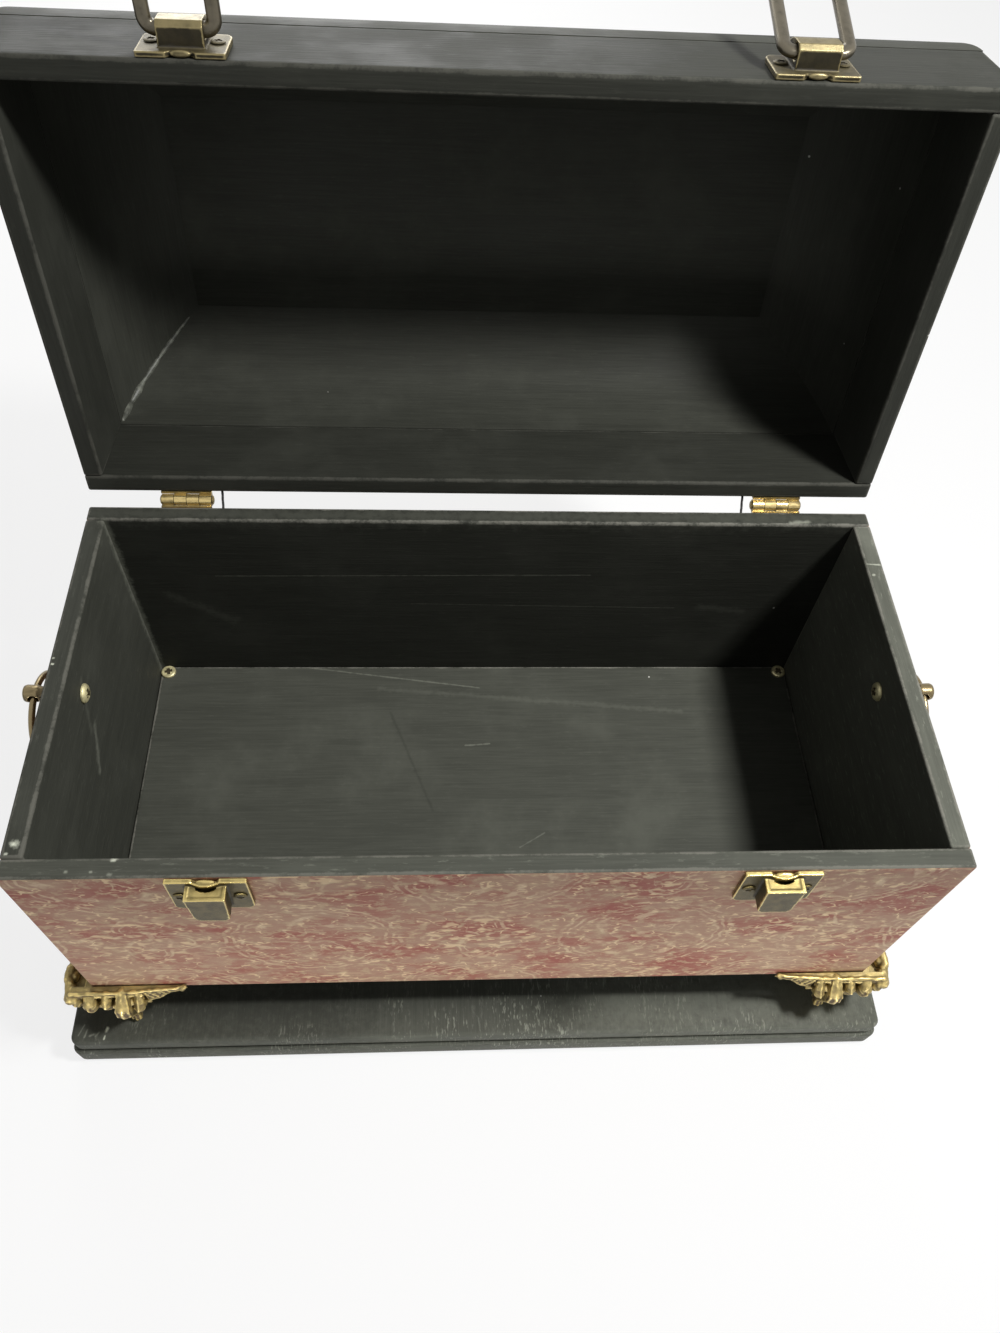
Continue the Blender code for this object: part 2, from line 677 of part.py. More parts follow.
def build_lid_coves(lid_axis):
    """Four curved panels, mitred where they meet on the hips."""
    height = 2 * (LID_COVE_RADIUS + WALL)
    sides = (
        ("front", 0, HALF_WIDTH, LID_HALF_DEPTH), ("right", 90, LID_HALF_DEPTH, HALF_WIDTH),
        ("back", 180, HALF_WIDTH, LID_HALF_DEPTH), ("left", 270, LID_HALF_DEPTH, HALF_WIDTH),
    )
    for name, turn, half_length, half_depth in sides:
        panel = outline_mesh(cove_profile(), 2 * half_length, FACING_SIDE)
        panel.transform(Matrix.Translation((0, -half_depth, 0)))
        mitre = outline_mesh(mitre_plan(half_length, half_depth), height, FLAT)
        around = Matrix.Rotation(math.radians(turn), 4, "Z")
        for mesh in (panel, mitre):
            mesh.transform(around)
        cove = place("lid_cove_" + name, panel, RED_COVERING, (0, LID_Y, COVE_Z), lid_axis)
        boolean(cove, tool(mitre, (0, LID_Y, COVE_Z), lid_axis), "INTERSECT")


def build_lid_top(lid_axis):
    """The flat top panel, let in between the coves on bevelled edges."""
    lean = math.cos(LID_COVE_SWEEP)
    thickness = WALL * math.sin(LID_COVE_SWEEP)
    low_inset = WALL + LID_COVE_RADIUS * (1 - lean) + SEAM
    high_inset = (WALL + LID_COVE_RADIUS) * (1 - lean) + SEAM
    work = bmesh.new()
    bmesh.ops.create_cube(work, size=2.0)
    for corner in work.verts:
        inset = high_inset if corner.co.z > 0 else low_inset
        corner.co.x *= HALF_WIDTH - inset
        corner.co.y *= LID_HALF_DEPTH - inset
        corner.co.z *= thickness / 2
    middle_z = COVE_Z + LID_COVE_RADIUS * math.sin(LID_COVE_SWEEP) + thickness / 2
    place("lid_top_panel", finished(work), RED_COVERING, (0, LID_Y, middle_z), lid_axis)


def hinge_leaf(name, centre_x, side, first_knuckle, parent):
    """One leaf with its knuckles; side is -1 for the leaf below the rim and 1 for the one above."""
    pitch = HINGE_LENGTH / HINGE_KNUCKLES
    plate = box_mesh((HINGE_LENGTH, LEAF_THICKNESS, LEAF_DEPTH))
    plate_y = HALF_DEPTH + SEAM + LEAF_THICKNESS / 2
    plate_z = RIM_Z + side * (LEAF_EDGE_GAP + LEAF_DEPTH / 2)
    leaf = place(name, plate, BRIGHT_BRASS, (centre_x, plate_y, plate_z), parent)
    knuckle_length = pitch - KNUCKLE_GAP
    web_low = LEAF_EDGE_GAP
    web_high = KNUCKLE_RADIUS
    web_back = HINGE_Y - KNUCKLE_RADIUS / 2
    web_size = (knuckle_length, web_back - plate_y, web_high - web_low)
    web_y = (web_back + plate_y) / 2
    web_z = RIM_Z + side * (web_low + web_high) / 2
    bore = HINGE_PIN_RADIUS + HINGE_PIN_CLEARANCE
    for at in range(first_knuckle, HINGE_KNUCKLES, 2):
        x = centre_x - HINGE_LENGTH / 2 + pitch * (at + 0.5)
        boolean(leaf, tool(box_mesh(web_size), (x, web_y, web_z), parent), "UNION")
        knuckle = rod_mesh(KNUCKLE_RADIUS, knuckle_length, "X", MEDIUM_ROUND_STEPS)
        boolean(leaf, tool(knuckle, (x, HINGE_Y, RIM_Z), parent), "UNION")
    drill = rod_mesh(bore, 2 * HINGE_LENGTH, "X", SMALL_ROUND_STEPS)
    boolean(leaf, tool(drill, (centre_x, HINGE_Y, RIM_Z), parent), "DIFFERENCE")
    hole = HINGE_SCREW_SHANK_RADIUS + SCREW_CLEARANCE
    for offset in (-HINGE_SCREW_X, HINGE_SCREW_X):
        drill = rod_mesh(hole, CUT_THROUGH * LEAF_THICKNESS, "Y", SMALL_ROUND_STEPS)
        spot = (centre_x + offset, plate_y, RIM_Z + side * HINGE_SCREW_OFF)
        boolean(leaf, tool(drill, spot, parent), "DIFFERENCE")


def build_hinges(lid_axis):
    """Two butt hinges: a box leaf, a lid leaf and a headed pin each."""
    half = HINGE_LENGTH / 2 + HINGE_PIN_CLEARANCE
    head = half + HINGE_PIN_HEAD
    crown = HINGE_PIN_RADIUS * PIN_CROWN_ACROSS
    wide = KNUCKLE_RADIUS * PIN_HEAD_ACROSS
    profile = (
        (0.0, head), (crown, head), (wide, half), (HINGE_PIN_RADIUS, half),
        (HINGE_PIN_RADIUS, -half), (wide, -half), (crown, -head), (0.0, -head),
    )
    for side, x in (("left", -HINGE_X), ("right", HINGE_X)):
        hinge_leaf("hinge_" + side + "_box_leaf", x, -1, 0, None)
        hinge_leaf("hinge_" + side + "_lid_leaf", x, 1, 1, lid_axis)
        frame = pointing((1, 0, 0), (x, HINGE_Y, RIM_Z))
        turned("hinge_" + side + "_pin", profile, BRIGHT_BRASS, SMALL_ROUND_STEPS, frame)


def build_cords():
    """Two taut stay cords from the box's back to the lid's back, as they lie with the lid open."""
    clear = SEAM + CORD_RADIUS
    low = Vector((HALF_DEPTH + clear, RIM_Z - CORD_BOX_DROP))
    closed_end = Vector((HALF_DEPTH + clear - HINGE_Y, LID_Z + CORD_LID_RISE - RIM_Z))
    turn = Matrix.Rotation(-LID_OPEN, 2)
    high = turn @ closed_end + Vector((HINGE_Y, RIM_Z))
    for side, x in (("left", -CORD_X), ("right", CORD_X)):
        points = [(x, *low), (x, *low.lerp(high, 0.5)), (x, *high)]
        cord = tube_mesh(points, CORD_RADIUS, cyclic=False)
        place("stay_cord_" + side, cord, CORD_BLACK)


def plate_outline(height, direction):
    """A latch plate seen from the front: a notched, square mating edge and round ears at the far side."""
    half = LATCH_WIDTH / 2
    notch = PLATE_NOTCH_WIDTH / 2
    round_off = LATCH_EAR_ROUND
    root = notch * NOTCH_ROOT_ACROSS
    points = [(-half, 0), (-notch, 0), (-root, PLATE_NOTCH_DEPTH), (root, PLATE_NOTCH_DEPTH)]
    points += [(notch, 0), (half, 0)]
    points += arc((half - round_off, height - round_off), round_off, 0, 90)
    points += arc((-half + round_off, height - round_off), round_off, 90, 180)
    return [(x, direction * y) for x, y in points]


def drill_plate(plate, x, face_y, height, parent=None):
    """The two screw holes of one latch plate."""
    hole = LATCH_SCREW_SHANK_RADIUS + SCREW_CLEARANCE
    for offset in (-LATCH_SCREW_X, LATCH_SCREW_X):
        drill = rod_mesh(hole, CUT_THROUGH * LATCH_PLATE, "Y", SMALL_ROUND_STEPS)
        boolean(plate, tool(drill, (x + offset, face_y, height), parent), "DIFFERENCE")


def build_box_latch(side, x):
    """The plate on the box with its keeper block, which has a scooped top."""
    front_y = -HALF_DEPTH - SEAM
    edge_z = RIM_Z - SEAM
    mesh = outline_mesh(plate_outline(BOX_PLATE_HEIGHT, -1), LATCH_PLATE, FACING_FRONT)
    plate = place("latch_" + side + "_box_plate", mesh, AGED_BRASS, (x, front_y - LATCH_PLATE / 2, edge_z))
    top, low = KEEPER_WIDTH / 2, KEEPER_FOOT_WIDTH / 2
    face = [(-top, -KEEPER_TOP), (-low, -KEEPER_BOTTOM), (low, -KEEPER_BOTTOM), (top, -KEEPER_TOP)]
    keeper_depth = KEEPER_PROUD - LATCH_PLATE / 2
    keeper_y = front_y - LATCH_PLATE / 2 - keeper_depth / 2
    block = tool(outline_mesh(face, keeper_depth, FACING_FRONT), (x, keeper_y, edge_z))
    bevelled(block, LATCH_PLATE / 3, 1)
    scoop = rod_mesh(KEEPER_SCOOP_RADIUS, 2 * KEEPER_SCOOP_DEPTH, "Z")
    scoop_y = front_y - KEEPER_SCOOP_REACH + KEEPER_SCOOP_RADIUS
    boolean(block, tool(scoop, (x, scoop_y, edge_z - KEEPER_TOP)), "DIFFERENCE")
    boolean(plate, block, "UNION")
    drill_plate(plate, x, front_y, RIM_Z - BOX_SCREW_DROP)


def block_profile():
    """Side section of the lid's latch block: distance out of the face, distance from the mating edge."""
    start, end = LATCH_BLOCK_START, LATCH_BLOCK_START + LATCH_BLOCK_LENGTH
    proud, tail = LATCH_BLOCK_PROUD, LATCH_BLOCK_TAIL
    inside = LATCH_PLATE / 2
    ease = proud * BLOCK_EASE
    points = [(inside, start), (proud - ease, start), (proud, start + ease)]
    flat_end = start + LATCH_BLOCK_LENGTH * BLOCK_FLAT
    for step in range(ARC_STEPS + 1):
        share = step / ARC_STEPS
        drop = (proud - tail) * (1 - math.cos(share * math.pi / 2))
        points.append((proud - drop, flat_end + (end - flat_end) * math.sin(share * math.pi / 2)))
    points.append((inside, end))
    return [(-out, along) for out, along in points]


def build_lid_latch(side, x, lid_axis):
    """The plate on the lid with the block that holds the loop's bar."""
    front_y = LID_FRONT_Y - SEAM
    edge_z = LID_Z + SEAM
    mesh = outline_mesh(plate_outline(LID_PLATE_HEIGHT, 1), LATCH_PLATE, FACING_FRONT)
    spot = (x, front_y - LATCH_PLATE / 2, edge_z)
    plate = place("latch_" + side + "_lid_plate", mesh, AGED_BRASS, spot, lid_axis)
    block = outline_mesh(block_profile(), LATCH_BLOCK_WIDTH, FACING_SIDE)
    boolean(plate, tool(block, (x, front_y, edge_z), lid_axis), "UNION")
    bore = LOOP_WIRE_WIDTH / 2 + LOOP_CLEARANCE
    drill = tool(rod_mesh(bore, 2 * LATCH_WIDTH, "X"), (x, *loop_pivot()), lid_axis)
    boolean(plate, drill, "DIFFERENCE")
    drill_plate(plate, x, front_y, LID_Z + LID_SCREW_RISE, lid_axis)


def loop_pivot():
    """Where the loop's bar turns in its block with the lid closed: Y and Z."""
    return LID_FRONT_Y - SEAM - LOOP_PIVOT_PROUD, LID_Z + LOOP_PIVOT_RISE


def loop_mesh():
    """A flat-sided wire loop: its bar lies on the X axis and it reaches down -Z."""
    half = LOOP_INSIDE_WIDTH / 2 + LOOP_WIRE_WIDTH / 2
    far = LOOP_REACH + LOOP_WIRE_WIDTH / 2
    near_radius = half - LATCH_BLOCK_WIDTH / 2 - LOOP_CLEARANCE
    corner = LOOP_CORNER_RADIUS
    path = arc((half - near_radius, -near_radius), near_radius, 90, 0)
    path += arc((half - corner, -far + corner), corner, 0, -90)
    path += arc((-half + corner, -far + corner), corner, 270, 180)
    path += arc((-half + near_radius, -near_radius), near_radius, 180, 90)
    mesh = tube_mesh([(x, 0, z) for x, z in path], LOOP_WIRE_WIDTH / 2, cyclic=True)
    mesh.transform(Matrix.Diagonal((1, LOOP_WIRE_THICKNESS / LOOP_WIRE_WIDTH, 1, 1)))
    smooth(mesh)
    return mesh


def build_latches(lid_axis):
    """Two loop latches; each loop turns on its own axis marker."""
    turns = []
    for side, sign, turn in (("left", -1, LOOP_LEFT_TURN), ("right", 1, LOOP_RIGHT_TURN)):
        x = sign * LID_LATCH_X
        build_box_latch(side, sign * LATCH_X)
        build_lid_latch(side, x, lid_axis)
        pivot = (x, *loop_pivot())
        marker = empty("latch_" + side + "_loop_axis", pivot, lid_axis)
        place("latch_" + side + "_loop", loop_mesh(), AGED_BRASS, pivot, marker)
        turns.append((marker, turn))
    for marker, turn in turns:
        marker.rotation_euler.x = -turn


def build_handle(side, sign):
    """Domed post with an eye, the screw that holds it from inside the wall, and a hanging ring."""
    face_x = sign * HALF_WIDTH
    outward = pointing((sign, 0, 0), (face_x, HANDLE_Y, HANDLE_Z))
    end_round = POST_RADIUS * POST_END_EASE
    dome_radius = POST_BASE_RADIUS * POST_DOME_ACROSS
    dome_height = SEAM + POST_BASE_HEIGHT * POST_DOME_UP
    socket = BOLT_SHANK_RADIUS + BOLT_CLEARANCE
    socket_depth = SEAM + BOLT_BITE + BOLT_CLEARANCE
    post = (
        (0.0, POST_LENGTH), (POST_RADIUS - end_round, POST_LENGTH), (POST_RADIUS, POST_LENGTH - end_round),
        (POST_RADIUS, SEAM + POST_BASE_HEIGHT), (dome_radius, dome_height),
        (POST_BASE_RADIUS, SEAM + POST_BASE_EDGE), (POST_BASE_RADIUS, SEAM), (socket, SEAM),
        (socket, socket_depth), (0.0, socket_depth),
    )
    shaft = turned("handle_" + side + "_post", post, AGED_BRASS, ROUND_STEPS, outward)
    eye_x = sign * (HALF_WIDTH + POST_LENGTH - EYE_FROM_TIP)
    eye = rod_mesh(EYE_RADIUS, CUT_THROUGH * POST_RADIUS, "Y", MEDIUM_ROUND_STEPS)
    boolean(shaft, tool(eye, (eye_x, HANDLE_Y, HANDLE_Z)), "DIFFERENCE")
    inward = pointing((-sign, 0, 0), (sign * (INNER_HALF_WIDTH - SEAM), HANDLE_Y, HANDLE_Z))
    reach = SEAM + WALL + SEAM + BOLT_BITE
    profile = screw_profile(BOLT_HEAD_RADIUS, BOLT_HEAD_HEIGHT, BOLT_SHANK_RADIUS, reach)
    turned("handle_" + side + "_screw", profile, BRIGHT_BRASS, SMALL_ROUND_STEPS, inward)
    bpy.ops.mesh.primitive_torus_add(
        major_radius=RING_RADIUS, minor_radius=RING_WIRE_RADIUS, major_segments=RING_STEPS,
        minor_segments=RING_WIRE_STEPS,
        location=(0, 0, 0), rotation=(0, 0, 0),
    )
    drawn = bpy.context.object
    mesh = drawn.data.copy()
    bpy.data.objects.remove(drawn)
    mesh.transform(Matrix.Translation((0, 0, -RING_RADIUS)) @ Matrix.Rotation(math.pi / 2, 4, "Y"))
    smooth(mesh)
    marker = empty("handle_" + side + "_axis", (eye_x, HANDLE_Y, HANDLE_Z))
    place("handle_" + side + "_ring", mesh, AGED_BRASS, marker.location, marker)


def build():
    """Build every piece closed, then turn the lid open."""
    lid_axis = empty("lid_axis", (0, HINGE_Y, RIM_Z))
    build_plinth()
    build_feet()
    build_box()
    build_lid_frame(lid_axis)
    build_lid_coves(lid_axis)
    build_lid_top(lid_axis)
    build_hinges(lid_axis)
    build_latches(lid_axis)
    build_screws(lid_axis)
    build_cords()
    for side, sign in (("left", -1), ("right", 1)):
        build_handle(side, sign)
    lid_axis.rotation_euler.x = -LID_OPEN
    bpy.context.view_layer.update()


build()
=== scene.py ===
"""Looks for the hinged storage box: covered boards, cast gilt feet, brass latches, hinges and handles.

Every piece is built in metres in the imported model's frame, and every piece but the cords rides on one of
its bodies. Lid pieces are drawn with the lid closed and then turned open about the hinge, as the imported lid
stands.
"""

import json
import math

import bmesh
import bpy
import numpy as np
from mathutils import Matrix, Vector, noise


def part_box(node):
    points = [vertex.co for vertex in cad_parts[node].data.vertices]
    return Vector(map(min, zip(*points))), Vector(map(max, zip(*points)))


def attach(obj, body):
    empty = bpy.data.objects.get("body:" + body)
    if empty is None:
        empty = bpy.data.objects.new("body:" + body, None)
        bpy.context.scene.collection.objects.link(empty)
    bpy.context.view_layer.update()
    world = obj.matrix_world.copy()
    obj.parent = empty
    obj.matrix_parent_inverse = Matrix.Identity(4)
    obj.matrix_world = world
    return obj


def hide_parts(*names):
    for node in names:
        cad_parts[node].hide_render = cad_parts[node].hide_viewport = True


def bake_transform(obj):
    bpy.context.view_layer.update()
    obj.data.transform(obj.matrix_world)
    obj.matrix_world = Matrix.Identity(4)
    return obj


bl_info = {
    "name": "Hinged storage box",
    "version": (1, 0, 0),
    "blender": (4, 5, 0),
    "location": "View3D > Sidebar > Storage box",
    "description": "Builds the finished pieces of a hinged storage box around its packed frame",
    "category": "Object",
}

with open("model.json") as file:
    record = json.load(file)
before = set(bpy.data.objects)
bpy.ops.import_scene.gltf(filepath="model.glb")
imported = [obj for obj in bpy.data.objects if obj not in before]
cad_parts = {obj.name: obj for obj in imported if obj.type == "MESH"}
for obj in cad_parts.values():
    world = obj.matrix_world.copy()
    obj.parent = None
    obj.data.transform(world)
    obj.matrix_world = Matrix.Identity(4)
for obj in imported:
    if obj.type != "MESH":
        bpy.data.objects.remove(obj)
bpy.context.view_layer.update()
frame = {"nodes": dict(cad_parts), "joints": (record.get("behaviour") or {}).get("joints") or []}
JOINTS = {joint["name"]: joint for joint in frame["joints"]}
MM = 0.001
TO_METRES = Matrix.Diagonal((MM, MM, MM, 1.0))

# Lid placement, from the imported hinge
HINGE = Vector(JOINTS["lid_hinge"]["pos_m"])
LID_TURN = math.radians(JOINTS["lid_hinge"]["range_deg"][0])
OPEN_LID = Matrix.Translation(HINGE) @ Matrix.Rotation(LID_TURN, 4, "X") @ Matrix.Translation(-HINGE)
SHUT_LID = OPEN_LID.inverted()

# Camera, from the photograph's vanishing lines
IMAGE_LONG_SIDE = 1333
FOCAL_PIXELS = 1021.564
CAMERA_PLACE = Vector((-0.02535, -0.26197, 0.59180))
CAMERA_PITCH = 0.972138
CAMERA_YAW = 0.108874
CAMERA_ROLL = -0.089618
SENSOR = 36.0


# Sizes and colours a user would change


class StorageBoxSettings(bpy.types.PropertyGroup):
    """Sizes and colours of the finished box."""

    paint: bpy.props.FloatVectorProperty(
        name="Paint", description="Black paint of the boards' insides and rims", subtype="COLOR", size=3,
        default=(0.062, 0.064, 0.052), min=0.0, max=1.0,
    )
    bare_wood: bpy.props.FloatVectorProperty(
        name="Worn edge", description="What shows where the paint is rubbed off", subtype="COLOR", size=3,
        default=(0.34, 0.33, 0.28), min=0.0, max=1.0,
    )
    covering_red: bpy.props.FloatVectorProperty(
        name="Covering red", description="Deep red ground of the covering", subtype="COLOR", size=3,
        default=(0.255, 0.066, 0.046), min=0.0, max=1.0,
    )
    covering_rose: bpy.props.FloatVectorProperty(
        name="Covering rose", description="Faded ground of the covering", subtype="COLOR", size=3,
        default=(0.330, 0.190, 0.125), min=0.0, max=1.0,
    )
    covering_gold: bpy.props.FloatVectorProperty(
        name="Covering gold", description="Printed motif of the covering", subtype="COLOR", size=3,
        default=(0.560, 0.430, 0.255), min=0.0, max=1.0,
    )
    gilding: bpy.props.FloatVectorProperty(
        name="Gilding", description="Antique gold of the feet", subtype="COLOR", size=3,
        default=(0.400, 0.308, 0.118), min=0.0, max=1.0,
    )
    aged_brass: bpy.props.FloatVectorProperty(
        name="Aged brass", description="Darkened brass of the latches and handles", subtype="COLOR", size=3,
        default=(0.370, 0.292, 0.115), min=0.0, max=1.0,
    )
    bright_brass: bpy.props.FloatVectorProperty(
        name="Bright brass", description="Brass of the hinges and screws", subtype="COLOR", size=3,
        default=(0.620, 0.480, 0.210), min=0.0, max=1.0,
    )
    arris: bpy.props.FloatProperty(
        name="Arris rounding", description="Rounding of the boards' edges", subtype="DISTANCE", unit="LENGTH",
        default=0.0011, min=0.0002, max=0.003,
    )
    medallion_pitch: bpy.props.FloatProperty(
        name="Medallion pitch", description="Repeat of the covering's medallions", subtype="DISTANCE",
        unit="LENGTH", default=0.154, min=0.02, max=0.5,
    )
    key_power: bpy.props.FloatProperty(
        name="Key light", description="Power of the overhead lamp", subtype="POWER", unit="POWER",
        default=11.0, min=0.0,
    )
    fill_power: bpy.props.FloatProperty(
        name="Fill light", description="Power of the low front lamp", subtype="POWER", unit="POWER",
        default=0.22, min=0.0,
    )
    back_power: bpy.props.FloatProperty(
        name="Back light", description="Power of the lamp behind the lid", subtype="POWER", unit="POWER",
        default=9.0, min=0.0,
    )
    surround: bpy.props.FloatProperty(
        name="Surround light", description="Strength of the light from all around", subtype="FACTOR",
        default=0.14, min=0.0, max=2.0,
    )


def settings():
    """The scene's sizes and colours."""
    return bpy.context.scene.storage_box


# Shader graphs


class Graph:
    """Adds nodes to one tree and joins them."""

    def __init__(self, tree):
        self.tree = tree

    def node(self, kind, **values):
        """A new node with some of its properties set."""
        made = self.tree.nodes.new(kind)
        for key, value in values.items():
            setattr(made, key, value)
        return made

    def feed(self, socket, value):
        """Link a socket to another, or set its value."""
        if isinstance(value, bpy.types.NodeSocket):
            self.tree.links.new(value, socket)
        elif value is not None:
            socket.default_value = value

    def maths(self, operation, *values):
        """A Math node's result."""
        made = self.node("ShaderNodeMath", operation=operation)
        for socket, value in zip(made.inputs, values):
            self.feed(socket, value)
        return made.outputs[0]

    def times(self, first, second):
        """A product."""
        return self.maths("MULTIPLY", first, second)

    def step(self, value, low, high):
        """A smooth rise from 0 at low to 1 at high."""
        made = self.node("ShaderNodeMapRange", interpolation_type="SMOOTHSTEP")
        self.feed(made.inputs["Value"], value)
        self.feed(made.inputs["From Min"], low)
        self.feed(made.inputs["From Max"], high)
        return made.outputs["Result"]

    def scaled(self, vector, scale):
        """A vector times another."""
        made = self.node("ShaderNodeVectorMath", operation="MULTIPLY")
        self.feed(made.inputs[0], vector)
        self.feed(made.inputs[1], scale)
        return made.outputs[0]

    def noise(self, vector, scale, detail=3.0, roughness=0.55):
        """A noise value about one half."""
        made = self.node("ShaderNodeTexNoise")
        self.feed(made.inputs["Vector"], vector)
        made.inputs["Scale"].default_value = scale
        made.inputs["Detail"].default_value = detail
        made.inputs["Roughness"].default_value = roughness
        return made.outputs["Fac"]

    def colour(self, factor, first, second):
        """A mix of two colours."""
        made = self.node("ShaderNodeMix", data_type="RGBA")
        self.feed(made.inputs[0], factor)
        self.feed(made.inputs[6], first)
        self.feed(made.inputs[7], second)
        return made.outputs[2]

    def between(self, factor, first, second):
        """A mix of two numbers."""
        made = self.node("ShaderNodeMix", data_type="FLOAT")
        self.feed(made.inputs[0], factor)
        self.feed(made.inputs[2], first)
        self.feed(made.inputs[3], second)
        return made.outputs[0]

    def group(self, tree, **values):
        """A shared effect placed in this tree."""
        made = self.node("ShaderNodeGroup", node_tree=tree)
        for key, value in values.items():
            self.feed(made.inputs[key], value)
        return made.outputs

    def bump(self, height, strength, distance):
        """A normal from a height."""
        made = self.node("ShaderNodeBump")
        made.inputs["Strength"].default_value = strength
        made.inputs["Distance"].default_value = distance
        self.feed(made.inputs["Height"], height)
        return made.outputs["Normal"]


def effect(name, inputs, outputs):
    """A new shader group with named sockets: its graph, its inputs and a place for its outputs."""
    tree = bpy.data.node_groups.new(name, "ShaderNodeTree")
    kinds = {"vector": "NodeSocketVector", "value": "NodeSocketFloat"}
    for key, kind in inputs.items():
        tree.interface.new_socket(name=key, in_out="INPUT", socket_type=kinds[kind])
    for key in outputs:
        tree.interface.new_socket(name=key, in_out="OUTPUT", socket_type="NodeSocketFloat")
    graph = Graph(tree)
    given = graph.node("NodeGroupInput").outputs
    wanted = graph.node("NodeGroupOutput").inputs
    return graph, given, wanted


def once(maker):
    """A shared group, built the first time it is asked for."""
    name = maker.__name__.capitalize()
    return bpy.data.node_groups.get(name) or maker(name)


def brushing(name):
    """Brush streaks, short strokes, fine tooth and cloudy patches of paint laid along a board."""
    graph, given, wanted = effect(name, {"Vector": "vector"}, ("Streak", "Stroke", "Tooth", "Cloud"))
    broad = graph.noise(graph.scaled(given["Vector"], (9.0, 120.0, 120.0)), 1.0, 4.0, 0.62)
    fine = graph.noise(graph.scaled(given["Vector"], (34.0, 900.0, 900.0)), 1.0, 2.0, 0.6)
    short = graph.noise(graph.scaled(given["Vector"], (110.0, 430.0, 430.0)), 1.0, 4.0, 0.7)
    graph.feed(wanted["Streak"], graph.times(graph.maths("ADD", broad, fine), 0.5))
    graph.feed(wanted["Stroke"], graph.step(short, 0.56, 0.70))
    graph.feed(wanted["Tooth"], fine)
    graph.feed(wanted["Cloud"], graph.noise(given["Vector"], 16.0, 5.0, 0.62))
    return graph.tree


def rubbing(name):
    """Where edges are rubbed bare: an edge mask broken up by noise."""
    graph, given, wanted = effect(name, {"Vector": "vector", "Edge": "value", "Amount": "value"}, ("Mask",))
    patches = graph.noise(given["Vector"], 55.0, 5.0, 0.65)
    grit = graph.noise(given["Vector"], 620.0, 3.0, 0.7)
    mixed = graph.maths("MULTIPLY_ADD", grit, 0.60, graph.times(patches, 1.35))
    pushed = graph.maths("MULTIPLY_ADD", given["Edge"], given["Amount"], mixed)
    graph.feed(wanted["Mask"], graph.step(pushed, 1.52, 1.88))
    return graph.tree


def scuff(name):
    """A scratch or smear along one line, broken up by noise."""
    inputs = {"Vector": "vector", "Start": "vector", "End": "vector", "Width": "value"}
    graph, given, wanted = effect(name, inputs, ("Mask",))

    def vector(operation, first, second):
        """A Vector Math node between two vectors."""
        made = graph.node("ShaderNodeVectorMath", operation=operation)
        graph.feed(made.inputs[0], first)
        graph.feed(made.inputs[1], second)
        return made.outputs["Value" if operation in ("DOT_PRODUCT", "DISTANCE") else "Vector"]

    run = vector("SUBTRACT", given["End"], given["Start"])
    away = vector("SUBTRACT", given["Vector"], given["Start"])
    share = graph.maths("DIVIDE", vector("DOT_PRODUCT", away, run), vector("DOT_PRODUCT", run, run))
    held = graph.maths("MINIMUM", graph.maths("MAXIMUM", share, 0.0), 1.0)
    whole = graph.node("ShaderNodeCombineXYZ")
    for socket in whole.inputs:
        graph.feed(socket, held)
    off = vector("DISTANCE", away, vector("MULTIPLY", run, whole.outputs[0]))
    near = graph.maths("DIVIDE", off, given["Width"])
    ragged = graph.noise(given["Vector"], 260.0, 5.0, 0.7)
    pushed = graph.maths("MULTIPLY_ADD", ragged, 1.5, near)
    graph.feed(wanted["Mask"], graph.maths("SUBTRACT", 1.0, graph.step(pushed, 0.62, 1.45)))
    return graph.tree


def scraping(name):
    """Patches of fine pale scratches from front to back."""
    graph, given, wanted = effect(name, {"Vector": "vector"}, ("Mask",))
    fine = graph.noise(graph.scaled(given["Vector"], (1050.0, 210.0, 210.0)), 1.0, 2.0, 0.6)
    patches = graph.noise(given["Vector"], 24.0, 3.0, 0.6)
    scratched = graph.step(fine, 0.55, 0.68)
    graph.feed(wanted["Mask"], graph.times(scratched, graph.step(patches, 0.44, 0.60)))
    return graph.tree


def specks(name):
    """Tiny pale chips and dust, scattered."""
    graph, given, wanted = effect(name, {"Vector": "vector"}, ("Mask",))
    cells = graph.node("ShaderNodeTexVoronoi", feature="F1")
    graph.feed(cells.inputs["Vector"], given["Vector"])
    cells.inputs["Scale"].default_value = 95.0
    dot = graph.maths("SUBTRACT", 1.0, graph.step(cells.outputs["Distance"], 0.03, 0.07))
    parts = graph.node("ShaderNodeSeparateColor")
    graph.feed(parts.inputs[0], cells.outputs["Color"])
    rare = graph.step(parts.outputs[0], 0.955, 0.960)
    graph.feed(wanted["Mask"], graph.times(dot, rare))
    return graph.tree


def tarnish(name):
    """Crests rubbed bright, recesses filled dark and a cloudy patina, from the piece's own relief."""
    inputs = {"Vector": "vector", "Relief": "value"}
    graph, given, wanted = effect(name, inputs, ("Crest", "Recess", "Cloud", "Grit"))
    cloud = graph.noise(given["Vector"], 210.0, 4.0, 0.6)
    grit = graph.noise(given["Vector"], 1500.0, 3.0, 0.7)
    shaken = graph.maths("MULTIPLY_ADD", graph.maths("SUBTRACT", cloud, 0.5), 0.7, given["Relief"])
    graph.feed(wanted["Crest"], graph.step(shaken, 0.18, 0.75))
    graph.feed(wanted["Recess"], graph.step(graph.times(shaken, -1.0), 0.05, 0.60))
    graph.feed(wanted["Cloud"], cloud)
    graph.feed(wanted["Grit"], grit)
    return graph.tree


